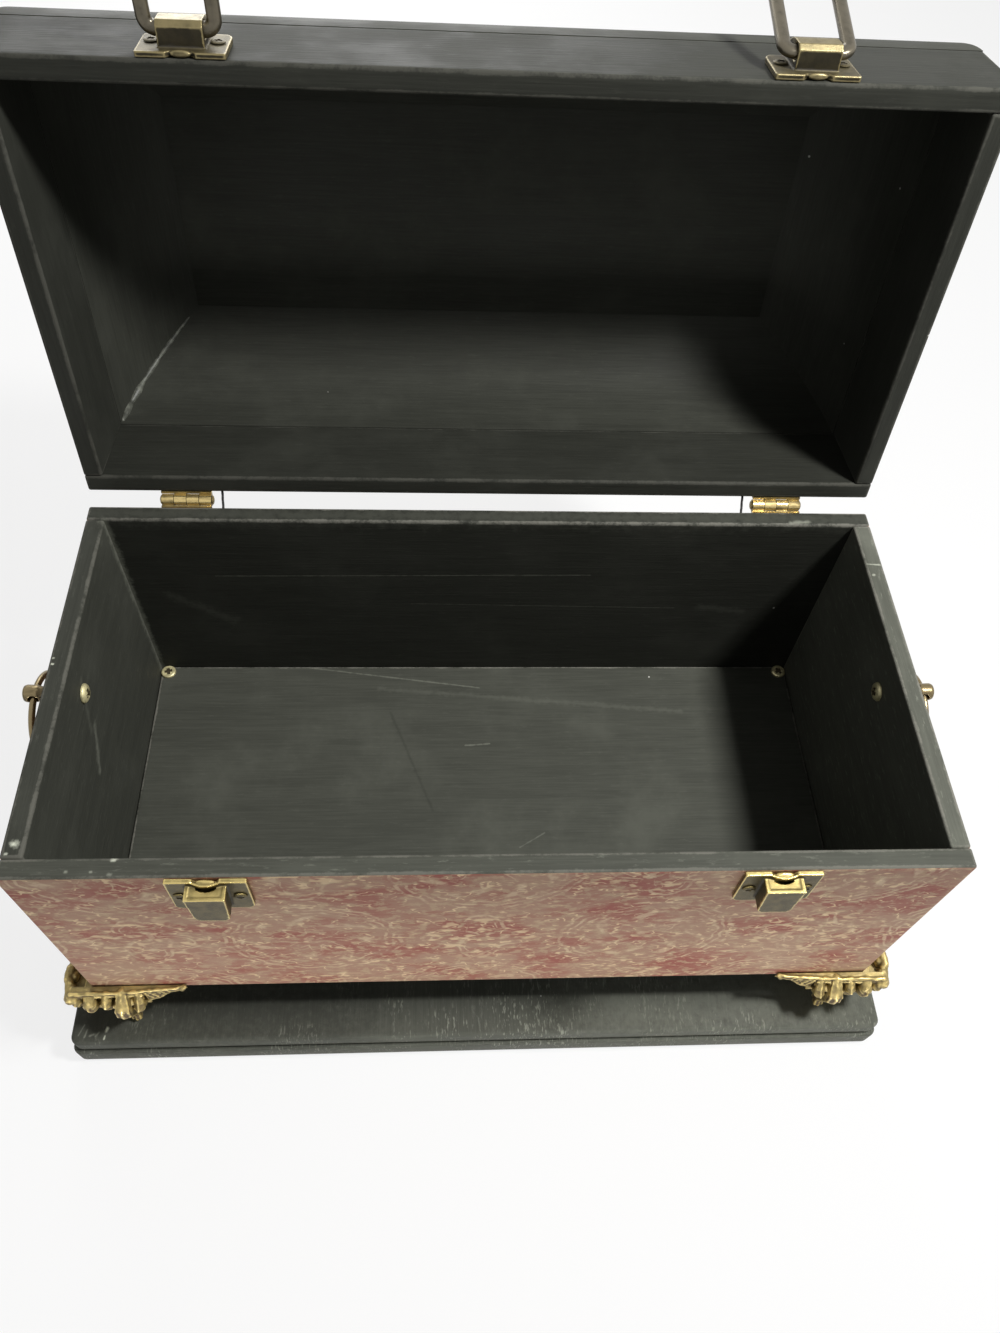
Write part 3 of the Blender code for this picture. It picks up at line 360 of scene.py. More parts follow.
def damask(name):
    """A faded damask: ringed medallions in a half-drop repeat, leafy fill and broken flecks."""
    inputs = {"Vector": "vector", "Pitch": "value"}
    graph, given, wanted = effect(name, inputs, ("Print", "Fleck", "Vein", "Dab", "Ground"))
    place = given["Vector"]
    pitch = given["Pitch"]
    wobble = graph.node("ShaderNodeTexNoise")
    graph.feed(wobble.inputs["Vector"], place)
    wobble.inputs["Scale"].default_value = 120.0
    shake = graph.node("ShaderNodeVectorMath", operation="MULTIPLY_ADD")
    graph.feed(shake.inputs[0], wobble.outputs["Color"])
    graph.feed(shake.inputs[1], (0.004, 0.004, 0.0))
    graph.feed(shake.inputs[2], place)
    split = graph.node("ShaderNodeSeparateXYZ")
    graph.feed(split.inputs[0], shake.outputs[0])

    def cell(axis, shift):
        """One coordinate, measured from the nearest centre of a lattice moved by a share of the pitch."""
        share = graph.maths("ADD", graph.maths("DIVIDE", split.outputs[axis], pitch), shift)
        return graph.times(graph.maths("SUBTRACT", graph.maths("FRACT", share), 0.5), pitch)

    def reach(across, up):
        """Distance from a centre."""
        squares = graph.maths("MULTIPLY_ADD", across, across, graph.times(up, up))
        return graph.maths("SQRT", squares)

    def nearest(first, second):
        """Distance and angle about the nearer of two centres."""
        first_reach, second_reach = reach(*first), reach(*second)
        nearer = graph.maths("LESS_THAN", first_reach, second_reach)
        across = graph.between(nearer, second[0], first[0])
        up = graph.between(nearer, second[1], first[1])
        return graph.maths("MINIMUM", first_reach, second_reach), graph.maths("ARCTAN2", up, across)

    def lobes(angle, count, turn, size):
        """A wave round a centre, in metres."""
        wave = graph.maths("COSINE", graph.maths("MULTIPLY_ADD", angle, count, turn))
        return graph.times(wave, size)

    def band(distance, middle, half):
        """A soft line at a distance."""
        off = graph.maths("ABSOLUTE", graph.maths("SUBTRACT", distance, middle))
        return graph.maths("SUBTRACT", 1.0, graph.step(off, half * 0.5, half * 1.3))

    def window(distance, low, high):
        """1 between two distances."""
        edge = 0.0008
        inside = graph.step(distance, low - edge, low + edge)
        outside = graph.step(distance, high - edge, high + edge)
        return graph.maths("SUBTRACT", inside, outside)

    left, low = 0.02, 0.655
    first = (cell(0, left), cell(1, low))
    second = (cell(0, left + 0.5), cell(1, low + 0.5))
    third = (cell(0, left + 0.5), cell(1, low))
    fourth = (cell(0, left), cell(1, low + 0.5))
    distance, angle = nearest(first, second)
    between_distance, between_angle = nearest(third, fourth)
    scalloped = graph.maths("ADD", distance, lobes(angle, 16.0, 0.0, 0.0005))
    rings = graph.maths("MAXIMUM", band(scalloped, 0.0402, 0.0009), band(scalloped, 0.0366, 0.0007))
    rings = graph.maths("MAXIMUM", rings, band(scalloped, 0.0332, 0.0007))
    petals = graph.maths("SUBTRACT", distance, lobes(angle, 8.0, 0.0, 0.0042))
    rosette = graph.maths("MAXIMUM", band(petals, 0.0130, 0.0011), window(distance, -0.01, 0.0040))
    swirl = graph.maths("MULTIPLY_ADD", distance, 330.0, graph.times(angle, 7.0))
    leaves = graph.step(graph.maths("SINE", swirl), 0.30, 0.85)
    leaves = graph.times(leaves, window(distance, 0.0185, 0.0300))
    medallion = graph.maths("MAXIMUM", graph.maths("MAXIMUM", rings, rosette), leaves)
    quatrefoil = graph.maths("SUBTRACT", between_distance, lobes(between_angle, 4.0, 0.0, 0.0060))
    scroll = graph.maths("MAXIMUM", band(quatrefoil, 0.0215, 0.0011), band(quatrefoil, 0.0170, 0.0007))
    curl = graph.maths("MULTIPLY_ADD", between_distance, -380.0, graph.times(between_angle, 5.0))
    curls = graph.step(graph.maths("SINE", curl), 0.3, 0.9)
    curls = graph.times(curls, window(between_distance, 0.004, 0.0135))
    worn = graph.step(graph.noise(graph.scaled(place, (90.0, 120.0, 1.0)), 1.0, 4.0, 0.65), 0.42, 0.60)
    motif = graph.maths("MAXIMUM", medallion, graph.maths("MAXIMUM", scroll, curls))
    graph.feed(wanted["Print"], graph.times(motif, worn))
    strokes = graph.noise(graph.scaled(place, (170.0, 250.0, 1.0)), 1.0, 3.0, 0.62)
    graph.feed(wanted["Fleck"], graph.step(strokes, 0.50, 0.62))
    contour = graph.noise(graph.scaled(place, (70.0, 120.0, 1.0)), 1.0, 2.0, 0.6)
    line = graph.maths("ABSOLUTE", graph.maths("SUBTRACT", contour, 0.5))
    thin = graph.maths("SUBTRACT", 1.0, graph.step(line, 0.008, 0.026))
    broken = graph.step(graph.noise(graph.scaled(place, (130.0, 150.0, 1.0)), 1.0, 2.0, 0.5), 0.46, 0.60)
    graph.feed(wanted["Vein"], graph.times(thin, broken))
    dabs = graph.noise(graph.scaled(place, (120.0, 210.0, 1.0)), 1.0, 1.0, 0.5)
    here = graph.maths("SUBTRACT", 1.0, graph.step(between_distance, 0.016, 0.040))
    graph.feed(wanted["Dab"], graph.times(graph.step(dabs, 0.56, 0.66), here))
    ground = graph.noise(graph.scaled(place, (24.0, 40.0, 1.0)), 1.0, 4.0, 0.6)
    graph.feed(wanted["Ground"], graph.step(ground, 0.36, 0.58))
    return graph.tree


# Finishes

PAINT_RUB = 0.78
COVERING_RUB = 0.40
PAINT_GLOSS = 0.10
COVERING_GLOSS = 0.30
CHIP_COLOUR = (0.62, 0.61, 0.56)
HAZE_COLOUR = (0.40, 0.28, 0.19)
BARE_COVERING = (0.10, 0.075, 0.06)
CHIP_LENGTH = 0.0004
CHIP_STRENGTH = 0.95


def surface(name):
    """A new material: its graph, its Principled shader and its coordinates."""
    made = bpy.data.materials.new(name)
    made.use_nodes = True
    graph = Graph(made.node_tree)
    shader = made.node_tree.nodes["Principled BSDF"]
    where = graph.node("ShaderNodeTexCoord").outputs
    return made, graph, shader.inputs, where


def attribute(graph, name):
    """A value stored on the mesh."""
    made = graph.node("ShaderNodeAttribute", attribute_type="GEOMETRY", attribute_name=name)
    return made.outputs["Fac"]


def solid(colour, share=1.0):
    """A colour with its alpha, lightened or darkened."""
    return (colour[0] * share, colour[1] * share, colour[2] * share, 1.0)


def painted(name, depth, strokes, wear, marks=(), scrapes=0.0):
    """Matt black paint, brushed along the boards, rubbed at the edges, dusty and marked by use.

    Depth is the paint's shade, strokes how much the brush shows and wear how bare the edges are. A mark is
    where it starts and ends, its width in metres, its strength and its shade of the paint. Scrapes is how
    much the fine scratches show.
    """
    made, graph, shader, where = surface(name)

    def tint(share):
        """The paint, lightened or darkened."""
        return solid(settings().paint, share * depth)

    brush = graph.group(once(brushing), Vector=where["UV"])
    edge = attribute(graph, "arris")
    rub = graph.group(once(rubbing), Vector=where["Object"], Edge=edge, Amount=PAINT_RUB)["Mask"]
    chip = graph.group(once(specks), Vector=where["Object"])["Mask"]
    shade = graph.colour(graph.step(brush["Streak"], 0.36, 0.64), tint(0.86), tint(1.10))
    shade = graph.colour(graph.step(brush["Cloud"], 0.46, 0.74), shade, tint(1.36))
    shade = graph.colour(graph.times(brush["Stroke"], strokes), shade, tint(2.6))
    if scrapes:
        scrape = graph.group(once(scraping), Vector=where["Object"])["Mask"]
        shade = graph.colour(graph.times(scrape, scrapes), shade, tint(3.6))
    for start, end, width, strength, tone in marks:
        mark = graph.group(once(scuff), Vector=where["Object"], Start=start, End=end, Width=width)
        shade = graph.colour(graph.times(mark["Mask"], strength), shade, tint(tone))
    shade = graph.colour(graph.times(rub, wear), shade, solid(settings().bare_wood, 0.62))
    graph.feed(shader["Base Color"], graph.colour(chip, shade, solid(CHIP_COLOUR)))
    rough = graph.between(graph.step(brush["Cloud"], 0.38, 0.62), 0.54, 0.68)
    graph.feed(shader["Roughness"], graph.between(rub, rough, 0.80))
    shader["Specular IOR Level"].default_value = PAINT_GLOSS
    height = graph.maths("MULTIPLY_ADD", brush["Stroke"], strokes, brush["Streak"])
    graph.feed(shader["Normal"], graph.bump(height, 0.30, 0.0008))
    return made


def plinth_paint(name):
    """The plinth's paint in short strokes, chipped on the left.

    It has painted shade darkening its left part and painted light brightening its right part.
    """
    low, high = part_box("plinth_top_board")
    near = low.y + 0.003
    middle = low.y + 0.016
    # Painted light: a broad lighter band across the plinth's right part.
    painted_light_right = ((0.060, middle, high.z), (0.200, middle, high.z), 0.055, 0.60, 1.9)
    # Painted shade: a broad darker band across the plinth's left part.
    painted_shade_left = ((low.x, middle, high.z), (-0.090, middle, high.z), 0.080, 0.75, 0.55)
    # Each chip from the corner: along, in, along, in at its end, its width, strength and shade
    chips = (
        (0.0183, 0.0034, 0.0187, 0.0054, 0.0016, 0.95, 9.0),
        (0.0178, -0.0006, 0.0180, 0.0010, 0.0012, 0.90, 8.0),
        (0.0042, 0.0015, 0.0064, 0.0070, 0.0009, 0.60, 3.0),
        (0.0074, 0.0005, 0.0083, 0.0044, 0.0010, 0.60, 3.2),
        (0.0102, 0.0012, 0.0120, 0.0020, 0.0012, 0.60, 3.4),
        (0.0132, 0.0010, 0.0146, 0.0030, 0.0010, 0.55, 3.0),
    )
    marks = [painted_light_right, painted_shade_left]
    for along, inward, to_along, to_inward, width, strength, shade in chips:
        start = (low.x + along, near + inward, high.z)
        marks.append((start, (low.x + to_along, near + to_inward, high.z), width, strength, shade))
    return painted(name, 1.38, 0.30, 0.35, marks, 0.75)


def lid_paint(name):
    """The lid rails' paint, darkened as painted shade."""
    return painted(name, 0.46, 0.12, 0.20)


def cove_paint(name):
    """The paint inside the lid's coves and top, darkened as painted shade."""
    return painted(name, 0.66, 0.12, 0.20)


def floor_paint(name):
    """The floor's paint, with a long scratch along the back and small scrapes."""
    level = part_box("floor_board")[1].z
    return painted(name, 1.16, 0.10, 0.9, (
        ((-0.112, 0.0905, level), (0.000, 0.0745, level), 0.0011, 0.60, 3.0),
        ((-0.060, 0.0740, level), (0.121, 0.0575, level), 0.0040, 0.38, 2.0),
        ((-0.053, 0.0570, level), (-0.028, -0.0070, level), 0.0022, 0.45, 0.55),
        ((-0.009, 0.0345, level), (0.005, 0.0355, level), 0.0012, 0.60, 3.2),
        ((0.020, -0.0300, level), (0.034, -0.0215, level), 0.0009, 0.50, 3.0),
    ))


def rim_chips(spots, shade):
    """Marks for small pale chips on the box's rim, each given by its place from above and its width."""
    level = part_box("wall_front")[1].z
    marks = []
    for x, y, width in spots:
        marks.append(((x, y, level), (x + CHIP_LENGTH, y, level), width, CHIP_STRENGTH, shade))
    return marks


def front_wall_paint(name):
    """The front wall's paint, greyed along the rim and chipped towards the left."""
    bright = ((-0.1548, -0.0912, 0.0024),)
    dull = ((-0.1728, -0.0964, 0.0016), (-0.1631, -0.0966, 0.0011), (-0.1554, -0.0979, 0.0022))
    return painted(name, 1.20, 0.45, 0.55, rim_chips(bright, 14.0) + rim_chips(dull, 4.0))


def back_wall_paint(name):
    """The back wall's paint, darkened as painted shade, with two long scratches and handling smears inside.
    """
    low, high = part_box("wall_back")
    face = low.y
    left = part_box("wall_left")[1].x
    middle = (low.y + high.y) / 2
    # The depth of 0.46 is painted shade on this board; the first mark, a wide lighter band along the rim's
    # top, lifts the rim back out of that painted shade.
    return painted(name, 0.46, 0.14, 0.7, (
        ((low.x, middle, high.z), (high.x, middle, high.z), 0.0130, 0.75, 2.5),
        ((0.1582, 0.0920, high.z), (0.1679, 0.0928, high.z), 0.0026, 0.85, 9.0),
        ((left, face, low.z), (left, face, high.z), 0.0040, 0.80, 6.5),
        ((-0.144, face, 0.1586), (0.058, face, 0.1610), 0.0010, 0.55, 5.2),
        ((-0.040, face, 0.1350), (0.110, face, 0.1318), 0.0008, 0.45, 4.4),
        ((-0.172, face, 0.1420), (-0.140, face, 0.1190), 0.0075, 0.40, 3.0),
        ((0.125, face, 0.1330), (0.150, face, 0.1290), 0.0060, 0.40, 2.6),
    ))


def left_wall_paint(name):
    """The left wall's paint, darkened as painted shade, with a smear below the handle's screw, a pale back
    corner and a chipped rim.
    """
    low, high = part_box("wall_left")
    face = high.x
    spots = (
        (-0.1957, -0.0842, 0.0034), (-0.1978, -0.0885, 0.0016),
        (-0.1984, 0.0034, 0.0012), (-0.1986, 0.0067, 0.0012),
    )
    return painted(name, 0.80, 0.25, 0.45, (
        *rim_chips(spots, 16.0),
        ((face, high.y, low.z), (face, high.y, high.z), 0.0075, 0.85, 3.2),
        ((face, -0.0012, 0.1569), (face, -0.0158, 0.1382), 0.0046, 0.75, 3.4),
        ((face, 0.0060, 0.1850), (face, -0.0060, 0.1600), 0.0042, 0.35, 2.6),
    ))


def right_wall_paint(name):
    """The right wall's paint, lightened as painted light, greyed along the rim, with a crack across it."""
    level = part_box("wall_right")[1].z
    crack = ((0.1920, 0.0646, level), (0.1990, 0.0640, level), 0.0011, 0.90, 4.5)
    return painted(name, 1.70, 0.45, 0.85, (crack, *rim_chips(((0.1934, 0.0575, 0.0018),), 5.0)))


def damask_covering(name):
    """Red covering with a faded gold damask, hazed by handling and rubbed at the edges."""
    made, graph, shader, where = surface(name)
    cloth = graph.group(once(damask), Vector=where["UV"], Pitch=settings().medallion_pitch)
    brush = graph.group(once(brushing), Vector=where["UV"])
    edge = attribute(graph, "arris")
    rub = graph.group(once(rubbing), Vector=where["Object"], Edge=edge, Amount=COVERING_RUB)["Mask"]
    red, rose, gold = settings().covering_red, settings().covering_rose, settings().covering_gold
    ground = graph.colour(cloth["Ground"], solid(red), solid(rose))
    flecked = graph.colour(graph.times(cloth["Fleck"], 0.55), ground, solid(gold, 0.80))
    veined = graph.colour(graph.times(cloth["Vein"], 0.80), flecked, solid(gold, 1.22))
    dabbed = graph.colour(graph.times(cloth["Dab"], 0.70), veined, solid(gold, 1.22))
    printed = graph.colour(graph.times(cloth["Print"], 0.55), dabbed, solid(gold, 1.05))
    haze = graph.times(graph.step(brush["Cloud"], 0.42, 0.72), 0.35)
    hazed = graph.colour(haze, printed, solid(HAZE_COLOUR))
    graph.feed(shader["Base Color"], graph.colour(rub, hazed, solid(BARE_COVERING)))
    graph.feed(shader["Roughness"], graph.between(cloth["Print"], 0.60, 0.46))
    shader["Specular IOR Level"].default_value = COVERING_GLOSS
    height = graph.maths("MULTIPLY_ADD", cloth["Print"], 0.6, brush["Tooth"])
    graph.feed(shader["Normal"], graph.bump(height, 0.18, 0.0004))
    return made


def patinated(name, colour, crest_share, recess_colour, metal, roughness, painted_shade_share=1.0):
    """A cast metal, bright on its crests and upper faces, with dark patina in its recesses.

    The brightness of the upper faces is painted light, and the last argument is the share of the colour left
    on faces that don't look up, which is painted shade.
    """
    made, graph, shader, where = surface(name)
    aged = graph.group(once(tarnish), Vector=where["Object"], Relief=attribute(graph, "relief"))
    facing = graph.node("ShaderNodeSeparateXYZ")
    graph.feed(facing.inputs[0], where["Normal"])
    # Painted light and shade: faces that look up take a lighter copy of the colour, the others a darker copy.
    upper = graph.step(facing.outputs["Z"], 0.25, 0.80)
    clouded = graph.step(aged["Cloud"], 0.34, 0.66)
    dark = graph.colour(clouded, solid(colour, 0.62 * painted_shade_share), solid(colour, 1.05 * painted_shade_share))
    light = graph.colour(clouded, solid(colour, 0.70), solid(colour, 1.15))
    body = graph.colour(upper, dark, light)
    rubbed = graph.colour(graph.times(aged["Crest"], 0.90), body, solid(colour, crest_share))
    filled = graph.times(aged["Recess"], graph.between(upper, 1.0, 0.25))
    graph.feed(shader["Base Color"], graph.colour(filled, rubbed, solid(recess_colour)))
    graph.feed(shader["Metallic"], graph.between(filled, metal, metal * 0.25))
    dull = graph.between(aged["Crest"], roughness + 0.10, roughness - 0.08)
    graph.feed(shader["Roughness"], graph.between(filled, dull, 0.72))
    graph.feed(shader["Normal"], graph.bump(aged["Grit"], 0.25, 0.0003))
    return made


def worn_gilding(name):
    """Worn gilding over dark ground on the cast feet."""
    return patinated(name, settings().gilding, 1.75, (0.095, 0.062, 0.030), 0.48, 0.36, 0.80)


def latch_brass(name):
    """Aged brass of the latch plates, keepers and blocks."""
    return patinated(name, settings().aged_brass, 1.70, (0.045, 0.038, 0.024), 0.92, 0.32, 0.27)


def lid_latch_brass(name):
    """The darker brass of the lid's latch plates, rubbed bright on the blocks."""
    return patinated(name, (0.100, 0.082, 0.040), 2.5, (0.036, 0.031, 0.022), 0.70, 0.44, 0.30)


def loop_bronze(name):
    """Dark bronze of the latch loops."""
    return patinated(name, (0.058, 0.051, 0.037), 2.6, (0.026, 0.023, 0.017), 0.80, 0.36, 0.7)


def handle_bronze(name):
    """Dark olive bronze of the ring handles."""
    return patinated(name, (0.098, 0.076, 0.040), 2.4, (0.026, 0.021, 0.014), 0.85, 0.36, 0.8)


def hinge_brass(name):
    """Brass of the hinges, dulled by grime."""
    dulled = solid(settings().bright_brass, 0.66)
    return patinated(name, dulled, 1.55, (0.080, 0.060, 0.030), 0.85, 0.34, 0.8)


def screw_brass(name):
    """Pale plated brass of the screws."""
    return patinated(name, (0.800, 0.720, 0.400), 1.15, (0.110, 0.086, 0.044), 0.35, 0.34, 0.9)


def screw_recess(name):
    """Painted shade in the crosses of the screw heads: a dark finish for the cut's sunken faces."""
    return patinated(name, (0.070, 0.055, 0.028), 1.2, (0.040, 0.032, 0.018), 0.30, 0.55)


def dried_glue(name):
    """Dried filler, painted over."""
    made, graph, shader, where = surface(name)
    cloud = graph.noise(where["Object"], 260.0, 4.0, 0.65)
    paint = settings().paint
    shade = graph.colour(graph.step(cloud, 0.35, 0.7), solid(paint, 0.8), solid(paint, 2.6))
    graph.feed(shader["Base Color"], shade)
    graph.feed(shader["Roughness"], graph.between(cloud, 0.32, 0.62))
    graph.feed(shader["Normal"], graph.bump(cloud, 0.3, 0.0006))
    return made


def black_cord(name):
    """Twisted black thread."""
    made, graph, shader, where = surface(name)
    strands = graph.noise(graph.scaled(where["Object"], (900.0, 900.0, 2600.0)), 1.0, 2.0, 0.6)
    dark, pale = solid((0.010, 0.010, 0.010)), solid((0.045, 0.044, 0.042))
    graph.feed(shader["Base Color"], graph.colour(graph.step(strands, 0.35, 0.65), dark, pale))
    graph.feed(shader["Roughness"], graph.between(strands, 0.75, 0.92))
    graph.feed(shader["Normal"], graph.bump(strands, 0.4, 0.0002))
    return made


FINISHES = {}


def finish(maker):
    """A finish by its maker, built the first time it is asked for."""
    if maker not in FINISHES:
        FINISHES[maker] = maker(maker.__name__)
    return FINISHES[maker]


# Mesh helpers


def shut_box(node):
    """Lowest and highest corner of a lid node with the lid closed."""
    points = [SHUT_LID @ vertex.co for vertex in frame["nodes"][node].data.vertices]
    low, high = (Vector([pick(point[axis] for point in points) for axis in range(3)]) for pick in (min, max))
    return low, high


def piece(name, mesh, finishes, body, nodes, angle=40.0):
    """A finished piece from a mesh in the frame's coordinates."""
    mesh.name = name
    for maker in finishes:
        mesh.materials.append(finish(maker))
    mesh.shade_smooth()
    mesh.set_sharp_from_angle(angle=math.radians(angle))
    item = bpy.data.objects.new(name, mesh)
    bpy.context.scene.collection.objects.link(item)
    if body:
        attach(item, body)
    if nodes:
        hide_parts(*nodes)
    return item


def made_mesh(work):
    """A mesh from a bmesh, which is freed."""
    mesh = bpy.data.meshes.new("mesh")
    bmesh.ops.recalc_face_normals(work, faces=work.faces)
    work.to_mesh(mesh)
    work.free()
    return mesh


def box_work(low, high):
    """A plain box between two corners, to work on."""
    work = bmesh.new()
    bmesh.ops.create_cube(work, size=1.0)
    bmesh.ops.scale(work, vec=high - low, verts=work.verts)
    bmesh.ops.translate(work, vec=(low + high) / 2, verts=work.verts)
    return work


def bridge(work, rings, closed=False):
    """Faces between rings of points in turn, and from the last ring to the first where closed."""
    spans = list(zip(rings, rings[1:]))
    if closed:
        spans.append((rings[-1], rings[0]))
    for first, second in spans:
        for side in range(len(first)):
            after = (side + 1) % len(first)
            work.faces.new((first[side], first[after], second[after], second[side]))


def lay_boards_uv(work, along):
    """Coordinates in metres: along the board first, then across it, or up where the face stands."""
    layer = work.loops.layers.uv.verify()
    for face in work.faces:
        normal = [abs(value) for value in face.normal]
        flat = normal.index(max(normal))
        axes = [axis for axis in range(3) if axis != flat]
        if along in axes:
            axes.remove(along)
            axes.insert(0, along)
        for loop in face.loops:
            loop[layer].uv = (loop.vert.co[axes[0]], loop.vert.co[axes[1]])


SEAM = 0.0003
RUBBED_BAND = 0.0020
COVERED_FACING = 0.2
COVERED_STEEPNESS = 0.6


def tight(bounds, axis):
    """A board's box drawn out by the seam at both ends, so that it meets its neighbours."""
    low, high = bounds
    reach = Vector((0, 0, 0))
    reach[axis] = SEAM
    return low - reach, high + reach


def board_mesh(low, high, along, covered=(), turn=None):
    """A board with rounded, rubbed arrises and a covering on the sides that face the given ways."""
    work = box_work(low, high)
    round_off = settings().arris
    bmesh.ops.bevel(work, geom=work.edges[:], offset=round_off, segments=3, profile=0.5, affect="EDGES")
    edge = work.verts.layers.float.new("arris")
    for vertex in work.verts:
        vertex[edge] = 1.0
    wide = sorted(work.faces, key=lambda face: face.calc_area())[-6:]
    band = min(RUBBED_BAND, min(high - low) / 2 - 1.6 * round_off)
    bmesh.ops.inset_individual(work, faces=wide, thickness=band)
    for face in wide:
        for vertex in face.verts:
            vertex[edge] = 0.0
    lay_boards_uv(work, along)
    for face in work.faces:
        facing = max((face.normal.dot(Vector(aim)) for aim in covered), default=0.0)
        outside = facing > COVERED_FACING and abs(face.normal.z) < COVERED_STEEPNESS
        face.material_index = 1 if outside else 0
    if turn:
        bmesh.ops.transform(work, matrix=turn, verts=work.verts)
    return made_mesh(work)


def evaluated(item):
    """The mesh of an object with its modifiers applied; the object goes."""
    bpy.context.view_layer.update()
    graph = bpy.context.evaluated_depsgraph_get()
    mesh = bpy.data.meshes.new_from_object(item.evaluated_get(graph))
    bpy.data.objects.remove(item)
    return mesh


def scratch(mesh):
    """A passing object to hang modifiers on."""
    item = bpy.data.objects.new("scratch", mesh)
    bpy.context.scene.collection.objects.link(item)
    return item


def combined(mesh, others, operation="UNION"):
    """A mesh joined with or cut by others."""
    item = scratch(mesh)
    tools = [scratch(other) for other in others]
    for tool in tools:
        step = item.modifiers.new("join", "BOOLEAN")
        step.operation = operation
        step.solver = "EXACT"
        step.object = tool
    mesh = evaluated(item)
    for tool in tools:
        bpy.data.objects.remove(tool)
    return mesh


def cast(mesh, voxel, rounds, keep):
    """A mesh melted into one skin, smoothed and thinned, as a casting looks."""
    item = scratch(mesh)
    melt = item.modifiers.new("melt", "REMESH")
    melt.mode = "VOXEL"
    melt.voxel_size = voxel
    soft = item.modifiers.new("soft", "SMOOTH")
    soft.factor = 0.5
    soft.iterations = rounds
    thin = item.modifiers.new("thin", "DECIMATE")
    thin.ratio = keep
    return evaluated(item)


RELIEF_PERCENT = 88


def add_relief(mesh, rounds, level=0):
    """Store on each point how far it stands proud of its neighbours (1) or sinks among them (-1).

    Level is how many rounds even out the relief over a whole casting, so that each bulge has its own crest.
    """
    count = len(mesh.vertices)
    places = np.empty(count * 3)
    mesh.vertices.foreach_get("co", places)
    places = places.reshape(-1, 3)
    normals = np.empty(count * 3)
    mesh.vertex_normals.foreach_get("vector", normals)
    normals = normals.reshape(-1, 3)
    pairs = np.empty(len(mesh.edges) * 2, int)
    mesh.edges.foreach_get("vertices", pairs)
    pairs = pairs.reshape(-1, 2)
    degree = np.maximum(np.bincount(pairs.ravel(), minlength=count), 1)

    def spread(values):
        total = np.zeros_like(values)
        np.add.at(total, pairs[:, 0], values[pairs[:, 1]])
        np.add.at(total, pairs[:, 1], values[pairs[:, 0]])
        return total / degree.reshape(-1, *([1] * (values.ndim - 1)))

    wide = places
    for _ in range(rounds * 3):
        wide = 0.5 * wide + 0.5 * spread(wide)
    relief = np.einsum("ij,ij->i", places - wide, normals)
    for _ in range(rounds):
        relief = 0.5 * relief + 0.5 * spread(relief)
    broad = relief
    for _ in range(level):
        broad = 0.5 * broad + 0.5 * spread(broad)
    if level:
        relief = relief - broad
    scale = max(np.percentile(np.abs(relief), RELIEF_PERCENT), 1e-7)
    layer = mesh.attributes.new("relief", "FLOAT", "POINT")
    layer.data.foreach_set("value", np.clip(relief / scale, -1.0, 1.0).astype(np.float32))
    return mesh


def cuboid(low, high):
    """A plain box mesh between two corners, for joining."""
    return made_mesh(box_work(Vector(low), Vector(high)))


def rod(radius, length, axis, centre, sides=32):
    """A cylinder along an axis about a centre."""
    work = bmesh.new()
    bmesh.ops.create_cone(
        work, cap_ends=True, segments=sides, radius1=radius, radius2=radius, depth=length,
        matrix=aimed(axis, centre),
    )
    return made_mesh(work)


def lathe(profile, sides, place):
    """A closed turned mesh from (radius, height) points that start and end on the axis."""
    work = bmesh.new()
    rings = []
    for radius, height in profile:
        if radius < 1e-7:
            rings.append([work.verts.new((0, 0, height))])
            continue
        turns = [2 * math.pi * side / sides for side in range(sides)]
        rings.append([work.verts.new((radius * math.cos(t), radius * math.sin(t), height)) for t in turns])
    for lower, upper in zip(rings, rings[1:]):
        for side in range(sides):
            after = (side + 1) % sides
            if len(lower) == 1:
                work.faces.new((lower[0], upper[after], upper[side]))
            elif len(upper) == 1:
                work.faces.new((lower[side], lower[after], upper[0]))
            else:
                work.faces.new((lower[side], lower[after], upper[after], upper[side]))
    bmesh.ops.transform(work, matrix=place, verts=work.verts)
    return made_mesh(work)


def aimed(direction, location):
    """A frame at a place whose Z axis points along a direction."""
    turn = Vector(direction).to_track_quat("Z", "Y").to_matrix().to_4x4()
    return Matrix.Translation(Vector(location)) @ turn


def swept(path, section):
    """A wire without ends: a section of (side, out) points carried round a path that lies in one Y plane."""
    work = bmesh.new()
    out = Vector((0, 1, 0))
    rings = []
    for at, point in enumerate(path):
        run = (Vector(path[(at + 1) % len(path)]) - Vector(path[at - 1])).normalized()
        side = run.cross(out).normalized()
        rings.append([work.verts.new(Vector(point) + side * s + out * o) for s, o in section])
    bridge(work, rings, closed=True)
    return made_mesh(work)


def rounded(width, height, power, sides):
    """A softened rectangle as a section."""
    points = []
    for side in range(sides):
        turn = 2 * math.pi * side / sides
        across, up = math.cos(turn), math.sin(turn)
        points.append((
            width / 2 * math.copysign(abs(across) ** (2 / power), across),
            height / 2 * math.copysign(abs(up) ** (2 / power), up),
        ))
    return points


def arc(centre, radius, start, end, steps):
    """Points along an arc, both ends included, in degrees."""
    points = []
    for step in range(steps + 1):
        turn = math.radians(start + (end - start) * step / steps)
        points.append((centre[0] + radius * math.cos(turn), centre[1] + radius * math.sin(turn)))
    return points


def slab(outline, low, high, lay):
    """An outline given thickness between two depths; lay turns (across, up, depth) into a point."""
    work = bmesh.new()
    near = [work.verts.new(lay(across, up, low)) for across, up in outline]
    far = [work.verts.new(lay(across, up, high)) for across, up in outline]
    work.faces.new(near)
    work.faces.new(list(reversed(far)))
    bridge(work, [near, far])
    return made_mesh(work)


def ball_mesh():
    """A small unit ball, the pattern for every bead."""
    work = bmesh.new()
    bmesh.ops.create_icosphere(work, subdivisions=2, radius=1.0)
    return made_mesh(work)


BALL = ball_mesh()
BEAD_SPACING = 0.6


